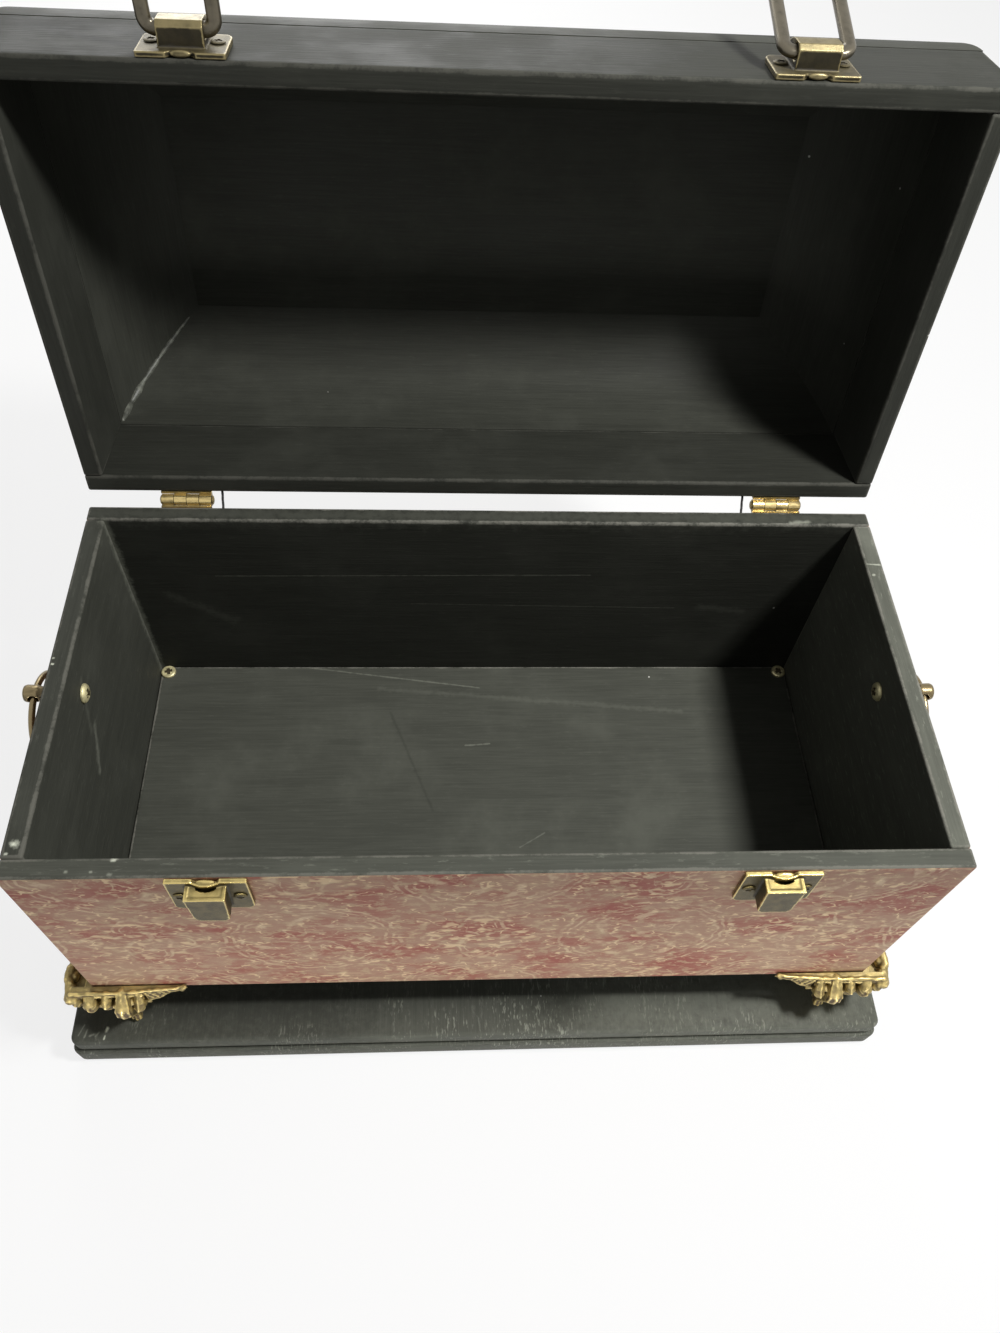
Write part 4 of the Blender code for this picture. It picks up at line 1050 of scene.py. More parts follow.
def beads(chain):
    """Balls along a chain of (point, radius), close enough to melt into one rod."""
    spots, points, faces = [], [], []
    corner_count = 0
    for (start, start_radius), (end, end_radius) in zip(chain, chain[1:]):
        start, end = Vector(start), Vector(end)
        steps = max(1, math.ceil((end - start).length / (BEAD_SPACING * min(start_radius, end_radius))))
        for step in range(steps):
            share = step / steps
            spots.append((start.lerp(end, share), start_radius + (end_radius - start_radius) * share))
    spots.append((Vector(chain[-1][0]), chain[-1][1]))
    for spot, radius in spots:
        size = Matrix.Diagonal((radius, radius, radius))
        points += [spot + size @ corner.co for corner in BALL.vertices]
        faces += [[index + corner_count for index in face.vertices] for face in BALL.polygons]
        corner_count += len(BALL.vertices)
    mesh = bpy.data.meshes.new("mesh")
    mesh.from_pydata(points, [], faces)
    return mesh


def merged(meshes):
    """Several meshes in one, not yet joined."""
    work = bmesh.new()
    for mesh in meshes:
        work.from_mesh(mesh)
    return made_mesh(work)


# Plinth

PLINTH_CORNER = 0.005
LEAST_CORNER = 0.0008
FLAT_INSET = 0.030
RUBBED_INSET = 0.0035
PLINTH_RUB = 0.4
EDGE_STEPS = 5
CORNER_STEPS = 8
PLINTH_EDGES = {"plinth_top_board": 0.0025, "plinth_lower_board": 0.0020}


def plinth_board(node, edge_round):
    """A board with round corners and softened edges, built of rings from the underside to the top."""
    low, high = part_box(node)
    lower = arc((edge_round, low.z + edge_round), edge_round, 270, 180, EDGE_STEPS)
    upper = arc((edge_round, high.z - edge_round), edge_round, 180, 90, EDGE_STEPS)
    levels = [(FLAT_INSET, low.z, 0.0)] + [(inset, z, PLINTH_RUB) for inset, z in lower + upper]
    levels += [(edge_round + RUBBED_INSET, high.z, 0.0), (FLAT_INSET, high.z, 0.0)]
    work = bmesh.new()
    edge = work.verts.layers.float.new("arris")
    rings = []
    for inset, z, rub in levels:
        corner = max(PLINTH_CORNER - inset, LEAST_CORNER)
        across, along = high.x - inset - corner, high.y - inset - corner
        centres = ((across, along), (-across, along), (-across, -along), (across, -along))
        outline = []
        for turn, centre in enumerate(centres):
            outline += arc(centre, corner, 90 * turn, 90 * turn + 90, CORNER_STEPS)
        ring = [work.verts.new((x, y, z)) for x, y in outline]
        for vertex in ring:
            vertex[edge] = rub
        rings.append(ring)
    bridge(work, rings)
    work.faces.new(rings[0][::-1])
    work.faces.new(rings[-1])
    bmesh.ops.recalc_face_normals(work, faces=work.faces)
    lay_boards_uv(work, 1)
    return made_mesh(work)


class STORAGE_BOX_OT_plinth(bpy.types.Operator):
    """Make the two painted boards under the feet"""

    bl_idname = "storage_box.plinth"
    bl_label = "Plinth boards"

    def execute(self, context):
        for node, edge_round in PLINTH_EDGES.items():
            mesh = plinth_board(node, edge_round)
            piece("painted_" + node, mesh, [plinth_paint], "box", [node], 50.0)
        return {"FINISHED"}


# Feet: sizes are in millimetres from the box's bottom corner, wings along +X and +Y

FOOT_LENGTH = 58.0
FOOT_GROUND = -35.8
FOOT_BACK = -0.4
LEDGE_DEPTH = 5.5
LEG_DEPTH = 3.2
# Each wing: how far it stands proud, its start, its toes' swell, its ledge's top and where the ledge narrows
FRONT_WING = (4.5, -10.5, 1.0, 3.0, 27.0)
SIDE_WING = (10.6, -4.0, 0.3, -3.0, 13.0)
# The casting, in metres: its grain, share of faces kept, lumps' height and the spacing of large and small
FOOT_VOXEL = 0.00042
FOOT_KEEP = 0.40
FOOT_LUMPS = 0.0004
LARGE_LUMPS = 0.0034
SMALL_LUMPS = 0.0014
# Each toe: its place along the wing, then its balls as (out of the face, up, radius)
FOOT_TOES = (
    (2.9, ((-1.0, 0.5, 2.5), (1.2, -4.0, 2.9), (-0.6, -11.0, 2.0))),
    (10.0, ((-1.0, 1.0, 2.6), (3.0, -3.0, 3.5), (2.6, -7.5, 3.3), (-0.5, -13.0, 2.4), (-1.2, -17.0, 1.8))),
    (17.9, ((-1.0, 0.5, 2.2), (2.6, -4.0, 2.8), (1.5, -10.0, 2.5), (-1.0, -17.0, 1.9))),
    (26.3, ((-1.0, 1.5, 2.8), (4.4, -5.0, 4.2), (5.0, -10.0, 3.9), (2.0, -19.0, 3.1), (-0.6, -28.0, 2.4),
            (0.2, -33.0, 2.7))),
    (34.0, ((-0.5, 0.0, 2.0), (2.2, -4.0, 2.6), (3.4, -6.5, 3.0), (1.2, -10.0, 2.2), (-1.0, -13.5, 1.7))),
)
FOOT_LEAF = 26.3
# Small curls between the toes: along the wing, out, up, radius
FOOT_CURLS = (
    (6.4, 1.6, -6.0, 1.5), (6.6, 0.6, -9.5, 1.2), (14.0, 2.0, -9.0, 1.4), (14.2, 1.0, -12.5, 1.2),
    (21.4, 2.6, -7.5, 1.5), (21.8, 2.0, -11.5, 1.3), (30.6, 2.4, -4.5, 1.3), (31.0, 2.4, -11.0, 1.4),
    (30.0, 1.2, -14.5, 1.2),
)
# The scalloped wing past the toes: its start and steps, its drop at the start, its rise and its ripple
WING_ROOT = 37.0
WING_STEPS = 8
WING_DROP = 9.5
WING_RISE = 2.4
WING_RIPPLE = 0.9
RIPPLE_RATE = 13.0
CORNER_BLOCK = ((-4.0, -2.2, -19.8), (26.0, 26.0, -0.6))
# The scroll at the corner: each ball's place and radius
FOOT_SCROLL = (
    ((-9.4, -4.6, -0.8), 3.9), ((-11.0, 0.0, 0.6), 2.2), ((-11.8, 4.0, 2.6), 2.3), ((-11.4, 8.5, 3.2), 2.3),
    ((-9.6, 11.5, 2.4), 2.1), ((-7.4, 11.0, 1.2), 1.8), ((-7.0, 8.8, 0.6), 1.6),
)


def wing_shapes(proud, start, swell, ledge_top, hold):
    """The balls and bars of one wing along +X, its face towards -Y; the ledge narrows after hold."""
    tip = start + FOOT_LENGTH

    def spot(along, out, up):
        return (start + along, -proud - out * (swell if out > 0 else 1.0), up)

    ledge = [(start + 1.0, FOOT_BACK), (start + 1.0, -proud - 0.4), (start + hold, -proud)]
    ledge += [(tip - 4.0, -1.8), (tip, FOOT_BACK)]
    shapes = [slab(ledge, ledge_top - LEDGE_DEPTH, ledge_top, lambda x, y, z: (x, y, z))]
    crest = [(spot(1.4, 0.0, ledge_top + 0.6), 1.0), (spot(hold, -0.5, ledge_top + 0.2), 0.9)]
    crest += [((tip - 4.5, -2.2, 3.4), 0.8), ((tip - 1.0, -1.0, 3.8), 0.7)]
    shapes.append(beads(crest))
    shapes.append(beads([(spot(2.0, 0.3, ledge_top - 2.6), 0.8), (spot(36.0, 0.2, 0.4), 0.7)]))
    for along, balls in FOOT_TOES:
        shapes.append(beads([(spot(along, out, up), radius) for out, up, radius in balls]))
        for lean in (-0.72, 0.0, 0.72) if along == FOOT_LEAF else (0.0,):
            rib = []
            for out, up, radius in balls:
                outer = out * (swell if out > 0 else 1.0) + radius * (0.94 if lean == 0.0 else 0.66)
                rib.append(((start + along + lean * radius, -proud - outer, up + 0.2 * radius), 0.72))
            shapes.append(beads(rib))
        low = balls[-1][1]
        width = balls[-1][2] * 0.85
        back = min(FOOT_BACK, LEG_DEPTH - proud)
        near = (start + along - width, -proud + 0.6, low)
        shapes.append(cuboid(near, (start + along + width, back, min(0.0, ledge_top))))
    for along, out, up, radius in FOOT_CURLS:
        shapes.append(beads([(spot(along, out, up), radius), (spot(along, out - 2.5, up), radius)]))
    root = start + WING_ROOT
    edge = []
    for step in range(WING_STEPS + 1):
        share = step / WING_STEPS
        x = root + (tip - 2.0 - root) * share
        out = proud - 0.8 + (1.4 - proud) * share
        fall = -0.5 - WING_DROP * (1 - share) ** 0.95 + WING_RISE * share
        edge.append((x, out, fall + WING_RIPPLE * math.sin(share * RIPPLE_RATE)))
    for (x, out, low), (after, _, _) in zip(edge, edge[1:]):
        shapes.append(cuboid((x - 0.2, -out, low), (after + 0.2, FOOT_BACK, 2.6)))
    shapes.append(beads([((x, -out - 0.2, low), 1.0) for x, out, low in edge]))
    for at in (1, 2, 4, 5):
        x, out, low = edge[at]
        shapes.append(beads([((x - 1.6, -out - 0.3, 1.4), 0.75), ((x + 1.0, -out - 0.4, low * 0.7), 0.7)]))
    shapes.append(beads([((tip - 2.0, -1.9, 1.8), 1.7), ((tip - 0.8, -1.5, 3.2), 1.4)]))
    return shapes


def foot_pattern():
    """The front left foot at its own corner, in metres."""
    front = wing_shapes(*FRONT_WING)
    side = wing_shapes(*SIDE_WING)
    swap = Matrix(((0, 1, 0), (1, 0, 0), (0, 0, 1))).to_4x4()
    for mesh in side:
        mesh.transform(swap)
        mesh.flip_normals()
    mesh = merged(front + side + [cuboid(*CORNER_BLOCK), beads(FOOT_SCROLL)])
    mesh.transform(TO_METRES)
    mesh = cast(mesh, FOOT_VOXEL, 1, FOOT_KEEP)
    outward = [normal.vector.copy() for normal in mesh.vertex_normals]
    for vertex, normal in zip(mesh.vertices, outward):
        coarse = noise.noise(vertex.co / LARGE_LUMPS)
        fine = noise.noise(vertex.co / SMALL_LUMPS)
        spot = vertex.co + normal * (FOOT_LUMPS * coarse + 0.4 * FOOT_LUMPS * fine)
        spot.z = max(spot.z, FOOT_GROUND * MM)
        vertex.co = spot
    return mesh


class STORAGE_BOX_OT_feet(bpy.types.Operator):
    """Make the four gilt cast feet, each the first one mirrored into its corner"""

    bl_idname = "storage_box.feet"
    bl_label = "Gilt feet"

    def execute(self, context):
        pattern = foot_pattern()
        wall_low, wall_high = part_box("wall_front")
        _, back_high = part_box("wall_back")
        for name, side_x, side_y in (
            ("front_left", -1, -1), ("front_right", 1, -1), ("back_right", 1, 1), ("back_left", -1, 1),
        ):
            mesh = pattern.copy()
            corner = (side_x * wall_high.x, wall_low.y if side_y < 0 else back_high.y, wall_low.z)
            mesh.transform(Matrix.Translation(corner) @ Matrix.Diagonal((-side_x, -side_y, 1, 1)))
            if side_x * side_y < 0:
                mesh.flip_normals()
            add_relief(mesh, 3, 30)
            piece("gilt_foot_" + name, mesh, [worn_gilding], "box", ["foot_" + name], 80.0)
        return {"FINISHED"}


# Box


class STORAGE_BOX_OT_walls(bpy.types.Operator):
    """Make the four covered walls of the box"""

    bl_idname = "storage_box.walls"
    bl_label = "Box walls"

    def execute(self, context):
        front, back, left, right = (0, -1, 0), (0, 1, 0), (-1, 0, 0), (1, 0, 0)
        sides = (
            ("front", 0, (front, left, right), front_wall_paint),
            ("back", 0, (back, left, right), back_wall_paint),
            ("left", 1, (left,), left_wall_paint),
            ("right", 1, (right,), right_wall_paint),
        )
        for side, along, covered, inside in sides:
            node = "wall_" + side
            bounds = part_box(node) if along == 0 else tight(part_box(node), along)
            mesh = board_mesh(*bounds, along, covered)
            piece("covered_" + node, mesh, [inside, damask_covering], "box", [node])
        return {"FINISHED"}


class STORAGE_BOX_OT_floor(bpy.types.Operator):
    """Make the painted floor of the box"""

    bl_idname = "storage_box.floor"
    bl_label = "Box floor"

    def execute(self, context):
        mesh = board_mesh(*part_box("floor_board"), 0)
        piece("painted_floor", mesh, [floor_paint], "box", ["floor_board"])
        return {"FINISHED"}


# Lid

WALL = 0.009
COVE_RADIUS = 0.060
COVE_SWEEP = 68.0
COVE_STEPS = 28
COVE_STATIONS = 10
COVE_BAND = 8
COVE_TURNS = {"front": 0, "right": 90, "back": 180, "left": 270}
TOP_EASE = 0.0003
TOP_FACING = 0.75
# The glue: radii of its lumps along the hip in millimetres, its ends on the cove's arc and its grain
GLUE_LUMPS = (1.3, 2.3, 1.5, 2.6, 1.2, 1.9, 1.1, 1.5, 0.9, 0.7)
GLUE_START, GLUE_END = 177, 118
GLUE_VOXEL = 0.0005


def cove_mesh(side):
    """A curved panel drawn along X with mitred ends and its outside towards -Y, turned to its own side."""
    rail_low, rail_high = shut_box("lid_rail_front")
    _, back_high = shut_box("lid_rail_back")
    half_width = rail_high.x
    half_depth = (back_high.y - rail_low.y) / 2
    middle = Vector((0, (back_high.y + rail_low.y) / 2, 0))
    base = rail_high.z + SEAM
    lengthwise = side in ("front", "back")
    half_length, half_reach = (half_width, half_depth) if lengthwise else (half_depth, half_width)
    centre = (WALL + COVE_RADIUS, 0.0)
    outer = arc(centre, COVE_RADIUS + WALL, 180, 180 - COVE_SWEEP, COVE_STEPS)
    inner = arc(centre, COVE_RADIUS, 180 - COVE_SWEEP, 180, COVE_STEPS)
    profile = outer + inner
    length = math.radians(COVE_SWEEP) * (COVE_RADIUS + WALL)
    run = [length * step / COVE_STEPS for step in range(COVE_STEPS + 1)]
    climb = run + list(reversed(run))
    work = bmesh.new()
    uv = work.loops.layers.uv.new("UVMap")
    rows = []
    for inset, height in profile:
        end = half_length - inset
        foot = base + height - (SEAM if height < SEAM else 0.0)
        xs = [-end + 2 * end * station / COVE_STATIONS for station in range(COVE_STATIONS + 1)]
        rows.append([work.verts.new((x, inset - half_reach, foot)) for x in xs])
    count = len(profile)
    for row in range(count):
        after = (row + 1) % count
        for station in range(COVE_STATIONS):
            face = work.faces.new((
                rows[row][station], rows[row][station + 1], rows[after][station + 1], rows[after][station],
            ))
            face.material_index = 1 if COVE_BAND <= row < COVE_STEPS else 0
            for loop, at in zip(face.loops, (row, row, after, after)):
                loop[uv].uv = (loop.vert.co.x, base + climb[at])
    for station, order in ((0, 1), (COVE_STATIONS, -1)):
        cap = work.faces.new([rows[row][station] for row in range(count)][::order])
        for loop in cap.loops:
            loop[uv].uv = (loop.vert.co.y, loop.vert.co.z)
    place = OPEN_LID @ Matrix.Translation(middle) @ Matrix.Rotation(math.radians(COVE_TURNS[side]), 4, "Z")
    bmesh.ops.transform(work, matrix=place, verts=work.verts)
    return made_mesh(work)


def top_panel_mesh():
    """The flat top panel with its slanted edges."""
    low, high = shut_box("lid_top_panel")
    slant = WALL * math.cos(math.radians(COVE_SWEEP))
    work = bmesh.new()
    bmesh.ops.create_cube(work, size=2.0)
    middle, half = (low + high) / 2, (high - low) / 2
    for vertex in work.verts:
        shrink = 0.0 if vertex.co.z > 0 else slant
        vertex.co.x *= half.x + SEAM - shrink
        vertex.co.y *= half.y + SEAM - shrink
        vertex.co.z *= half.z
    bmesh.ops.translate(work, vec=middle, verts=work.verts)
    bmesh.ops.bevel(work, geom=work.edges[:], offset=TOP_EASE, segments=2, profile=0.5, affect="EDGES")
    lay_boards_uv(work, 0)
    for face in work.faces:
        face.material_index = 1 if face.normal.z > TOP_FACING else 0
    bmesh.ops.transform(work, matrix=OPEN_LID, verts=work.verts)
    return made_mesh(work)


class STORAGE_BOX_OT_lid(bpy.types.Operator):
    """Make the lid's rails, coves and top panel"""

    bl_idname = "storage_box.lid"
    bl_label = "Lid shell"

    def execute(self, context):
        both = [cove_paint, damask_covering]
        for side, along in (("front", 0), ("back", 0), ("left", 1), ("right", 1)):
            node = "lid_rail_" + side
            bounds = shut_box(node) if along == 0 else tight(shut_box(node), along)
            mesh = board_mesh(*bounds, along, (), OPEN_LID)
            piece("painted_" + node, mesh, [lid_paint], "lid", [node])
            node = "lid_cove_" + side
            piece("covered_" + node, cove_mesh(side), both, "lid", [node])
        piece("covered_lid_top", top_panel_mesh(), both, "lid", ["lid_top_panel"])
        return {"FINISHED"}


class STORAGE_BOX_OT_glue(bpy.types.Operator):
    """Make the lumpy bead of glue along the lid's back left hip"""

    bl_idname = "storage_box.glue"
    bl_label = "Glue on the hip"

    def execute(self, context):
        rail_low, rail_high = shut_box("lid_rail_back")
        base = rail_high.z + SEAM
        centre = (WALL + COVE_RADIUS, 0.0)
        hip = arc(centre, COVE_RADIUS, GLUE_START, GLUE_END, len(GLUE_LUMPS) - 1)
        chain = []
        for (inset, height), lump in zip(hip, GLUE_LUMPS):
            spot = (rail_low.x + inset, rail_high.y - inset, base + height)
            chain.append((spot, lump * MM))
        mesh = cast(beads(chain), GLUE_VOXEL, 1, 0.5)
        mesh.transform(OPEN_LID)
        piece("hip_glue", mesh, [dried_glue], "lid", [], 80.0)
        return {"FINISHED"}


# Hinges

KNUCKLES = 4
KNUCKLE_RADIUS = 0.0030
KNUCKLE_GAP = 0.0003
LEAF_THICKNESS = 0.0012
LEAF_DEPTH = 0.020
LEAF_GAP = 0.0006
LEAF_EASE = 0.00022
PIN_RADIUS = 0.0013
PIN_PLAY = 0.0002
PIN_HEAD = 0.8
PIN_CAP = 0.0008
WEB_INSET = 0.0002
WEB_BACK = 0.0012


def leaf_mesh(node, centre_x, side, first):
    """A hinge leaf with its knuckles, drawn with the lid closed; side is -1 on the box and 1 on the lid."""
    low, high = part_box(node) if side < 0 else shut_box(node)
    face_y = low.y
    near, far = HINGE.z + side * LEAF_GAP, HINGE.z + side * (LEAF_GAP + LEAF_DEPTH)
    length = high.x - low.x
    left, right = centre_x - length / 2, centre_x + length / 2
    pitch = length / KNUCKLES
    plate = cuboid((left, face_y, min(near, far)), (right, face_y + LEAF_THICKNESS, max(near, far)))
    joins = []
    for at in range(first, KNUCKLES, 2):
        middle = left + pitch * (at + 0.5)
        half = (pitch - KNUCKLE_GAP) / 2
        joins.append(rod(KNUCKLE_RADIUS, 2 * half, (1, 0, 0), (middle, HINGE.y, HINGE.z)))
        under, over = sorted((near, HINGE.z + side * KNUCKLE_RADIUS * 0.98))
        web = (middle - half, face_y + WEB_INSET, under)
        joins.append(cuboid(web, (middle + half, HINGE.y - WEB_BACK, over)))
    bore = rod(PIN_RADIUS + PIN_PLAY, 2 * length, (1, 0, 0), (centre_x, HINGE.y, HINGE.z), 20)
    return combined(combined(plate, joins), [bore], "DIFFERENCE")


def eased(mesh):
    """A leaf with its edges eased."""
    item = scratch(mesh)
    bevel = item.modifiers.new("ease", "BEVEL")
    bevel.width = LEAF_EASE
    bevel.segments = 2
    bevel.angle_limit = math.radians(40)
    return evaluated(item)


class STORAGE_BOX_OT_hinges(bpy.types.Operator):
    """Make the two brass butt hinges with their pins"""

    bl_idname = "storage_box.hinges"
    bl_label = "Hinges"

    def execute(self, context):
        for hand in ("left", "right"):
            low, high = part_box("hinge_" + hand + "_pin")
            centre_x = (low.x + high.x) / 2
            for leaf, side, first in (("box", -1, 0), ("lid", 1, 1)):
                node = "hinge_" + hand + "_" + leaf + "_leaf"
                mesh = leaf_mesh(node, centre_x, side, first)
                if side > 0:
                    mesh.transform(OPEN_LID)
                mesh = add_relief(eased(mesh), 1)
                body = "lid" if side > 0 else "box"
                piece("brass_" + node, mesh, [hinge_brass], body, [node], 35.0)
            half = (high.x - low.x) / 2
            head = KNUCKLE_RADIUS * PIN_HEAD
            end = [(0.0, half), (PIN_RADIUS * 0.9, half - PIN_CAP / 8), (head * 0.85, half - PIN_CAP / 2)]
            end += [(head, half - PIN_CAP), (PIN_RADIUS, half - PIN_CAP)]
            profile = end + [(radius, -height) for radius, height in reversed(end)]
            mesh = add_relief(lathe(profile, 24, aimed((1, 0, 0), (centre_x, HINGE.y, HINGE.z))), 1)
            node = "hinge_" + hand + "_pin"
            piece("brass_" + node, mesh, [hinge_brass], "box", [node], 35.0)
        return {"FINISHED"}


# Cords

CORD_SIDES = 10
CORD_STEPS = 12
CORD_STRANDS = 3
CORD_TWIST = 1.3


def cord_mesh(start, end, radius):
    """A twisted thread from one end to the other."""
    along = (end - start).normalized()
    across = Vector((1, 0, 0))
    up = along.cross(across)
    work = bmesh.new()
    rings = []
    for step in range(CORD_STEPS + 1):
        spot = start.lerp(end, step / CORD_STEPS)
        ring = []
        for side in range(CORD_SIDES):
            turn = 2 * math.pi * side / CORD_SIDES
            swell = radius * (0.86 + 0.12 * math.cos(CORD_STRANDS * turn + step * CORD_TWIST))
            out = spot + across * swell * math.cos(turn) + up * swell * math.sin(turn)
            ring.append(work.verts.new(out))
        rings.append(ring)
    bridge(work, rings)
    work.faces.new(rings[0])
    work.faces.new(rings[-1])
    return made_mesh(work)


class STORAGE_BOX_OT_cords(bpy.types.Operator):
    """Make the two thin stay cords, held at both ends"""

    bl_idname = "storage_box.cords"
    bl_label = "Stay cords"

    def execute(self, context):
        for hand in ("left", "right"):
            node = "stay_cord_" + hand
            low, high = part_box(node)
            radius = (high.x - low.x) / 2
            x = (low.x + high.x) / 2
            start = Vector((x, low.y + radius, low.z + radius * 0.2))
            end = Vector((x, high.y - radius * 0.9, high.z - radius * 0.5))
            mesh = cord_mesh(start, end, radius)
            item = piece("thread_" + node, mesh, [black_cord], None, [node], 60.0)
            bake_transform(item)
        return {"FINISHED"}


# Latches: plates are drawn in millimetres from the middle of the mating edge, out of the face along -Y

LATCH_WIDTH = 33.0
PLATE = 2.0
EAR = 3.2
NOTCH_HALF = 5.6
NOTCH_DEPTH = 2.3
NOTCH_FLOOR = 0.62
PLATE_EASE = 0.4
BOX_PLATE_HEIGHT = 27.0
LID_PLATE_HEIGHT = 22.0
KEEPER_TOP_HALF = 8.25
KEEPER_LOW_HALF = 7.25
KEEPER_PROUD = 8.5
KEEPER_TOP = 2.8
KEEPER_BOTTOM = 24.5
KEEPER_EASE = 2.0
KEEPER_RIM = 1.4
TRAY_DEPTH = 0.28
SCOOP_RADIUS = 6.5
BOW_HALF = 5.8
BLOCK_HALF = 8.5
BLOCK_START = 4.5
BLOCK_END = 21.0
BLOCK_PROUD = 10.8
BLOCK_TAIL = 5.6
BLOCK_EASE = 1.9
BLOCK_FLAT = 0.40
BLOCK_STEPS = 10
BLOCK_POLISHED = 8.6
POLISHED_RELIEF = 0.55
LOOP_PIVOT_PROUD = 7.2
LOOP_PIVOT_RISE = 8.9
LOOP_WIRE = 5.4
LOOP_PLAY = 0.3
LATCH_VOXEL = 0.00030
LATCH_KEEP = 0.35


def plate_slab(height, direction):
    """A latch plate with a notched mating edge and round far corners."""
    half = LATCH_WIDTH / 2
    edge = [(half, PLATE_EASE), (half - PLATE_EASE, 0)]
    edge += [(NOTCH_HALF, 0), (NOTCH_HALF * NOTCH_FLOOR, NOTCH_DEPTH)]
    outline = [(-x, up) for x, up in edge] + edge[::-1]
    outline += arc((half - EAR, height - EAR), EAR, 0, 90, 8)
    outline += arc((-half + EAR, height - EAR), EAR, 90, 180, 8)
    return slab(outline, 0.0, PLATE, lambda x, up, out: (x, -out, direction * up))


def lens(half_width, half_height, half_depth, spot):
    """A small convex bump."""
    work = bmesh.new()
    size = Matrix.Diagonal((half_width, half_depth, half_height, 1.0))
    bmesh.ops.create_icosphere(work, subdivisions=3, radius=1.0, matrix=Matrix.Translation(spot) @ size)
    return made_mesh(work)


def keeper_shapes():
    """The keeper block on the box's plate, with a raised rim round its top and a scooped back."""
    def lay(x, up, out):
        return (x, -out, -up)

    edge = [(KEEPER_TOP_HALF, KEEPER_TOP), (KEEPER_LOW_HALF, KEEPER_BOTTOM - KEEPER_EASE)]
    edge.append((KEEPER_LOW_HALF - KEEPER_EASE, KEEPER_BOTTOM))
    block = slab([(-x, up) for x, up in edge] + edge[::-1], 0.5, KEEPER_PROUD, lay)
    scoop = rod(SCOOP_RADIUS, 17.0, (0, 0, 1), (0, 1.9, -KEEPER_TOP), 48)
    corner = (-KEEPER_TOP_HALF + KEEPER_RIM, -KEEPER_PROUD + KEEPER_RIM, -KEEPER_TOP - TRAY_DEPTH)
    tray = cuboid(corner, (KEEPER_TOP_HALF - KEEPER_RIM, -PLATE, 1.0))
    block = combined(block, [scoop, tray], "DIFFERENCE")
    spots = np.linspace(-BOW_HALF, BOW_HALF, 15)
    bow = [(x, 2.0 + 1.5 * math.cos(x / BOW_HALF * math.pi / 2)) for x in spots]
    strip = bow + [(x, out - 1.0) for x, out in reversed(bow)]
    arch = slab(strip, -3.2, -0.4, lambda x, out, z: (x, -out, z))
    return [block, arch, lens(3.9, 0.9, 1.1, (0, -1.1, -1.0))]


def block_shapes():
    """The domed block on the lid's plate that holds the loop's bar."""
    profile = [(1.0, BLOCK_START), (BLOCK_PROUD - BLOCK_EASE, BLOCK_START)]
    profile.append((BLOCK_PROUD, BLOCK_START + BLOCK_EASE))
    flat_end = BLOCK_START + BLOCK_FLAT * (BLOCK_END - BLOCK_START)
    for step in range(BLOCK_STEPS + 1):
        turn = step / BLOCK_STEPS * math.pi / 2
        drop = (BLOCK_PROUD - BLOCK_TAIL) * (1 - math.cos(turn))
        profile.append((BLOCK_PROUD - drop, flat_end + (BLOCK_END - flat_end) * math.sin(turn)))
    profile.append((1.0, BLOCK_END))
    block = slab(profile, -BLOCK_HALF, BLOCK_HALF, lambda out, up, x: (x, -out, up))
    pivot = (0, -LOOP_PIVOT_PROUD, LOOP_PIVOT_RISE)
    bore = rod(LOOP_WIRE / 2 + LOOP_PLAY, 2 * LATCH_WIDTH, (1, 0, 0), pivot, 40)
    return combined(block, [bore], "DIFFERENCE"), bore


def latch_mesh(shapes, place, polished=None):
    """A cast latch part from shapes in millimetres, rubbed bright further out of its face than polished."""
    mesh = merged(shapes)
    mesh.transform(place @ TO_METRES)
    mesh = cast(mesh, LATCH_VOXEL, 1, LATCH_KEEP)
    add_relief(mesh, 2)
    if polished is not None:
        back = place.inverted()
        for vertex, relief in zip(mesh.vertices, mesh.attributes["relief"].data):
            if -(back @ vertex.co).y > polished * MM:
                relief.value = max(relief.value, POLISHED_RELIEF)
    return mesh


class STORAGE_BOX_OT_latches(bpy.types.Operator):
    """Make the latch plates of the box and the lid"""

    bl_idname = "storage_box.latches"
    bl_label = "Latch plates"

    def execute(self, context):
        for hand in ("left", "right"):
            node = "latch_" + hand + "_box_plate"
            low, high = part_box(node)
            wall_low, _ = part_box("wall_front")
            place = Matrix.Translation(((low.x + high.x) / 2, wall_low.y - SEAM, high.z))
            mesh = latch_mesh([plate_slab(BOX_PLATE_HEIGHT, -1)] + keeper_shapes(), place)
            piece("cast_" + node, mesh, [latch_brass], "box", [node], 60.0)
            node = "latch_" + hand + "_lid_plate"
            low, high = shut_box(node)
            rail_low, _ = shut_box("lid_rail_front")
            place = OPEN_LID @ Matrix.Translation(((low.x + high.x) / 2, rail_low.y - SEAM, low.z))
            block, bore = block_shapes()
            plate = combined(plate_slab(LID_PLATE_HEIGHT, 1), [bore], "DIFFERENCE")
            mesh = latch_mesh([plate, block, lens(3.9, 1.0, 1.3, (0, -1.3, 1.1))], place, BLOCK_POLISHED)
            piece("cast_" + node, mesh, [lid_latch_brass], "lid", [node], 60.0)
        return {"FINISHED"}


LOOP_INSIDE = 20.0
LOOP_REACH = 35.2
LOOP_THICKNESS = 4.0
LOOP_CORNER = 6.2
LOOP_SPACING = 1.6
LOOP_SQUARENESS = 2.6
LOOP_TURNS = {"left": 84.7, "right": 158.7}


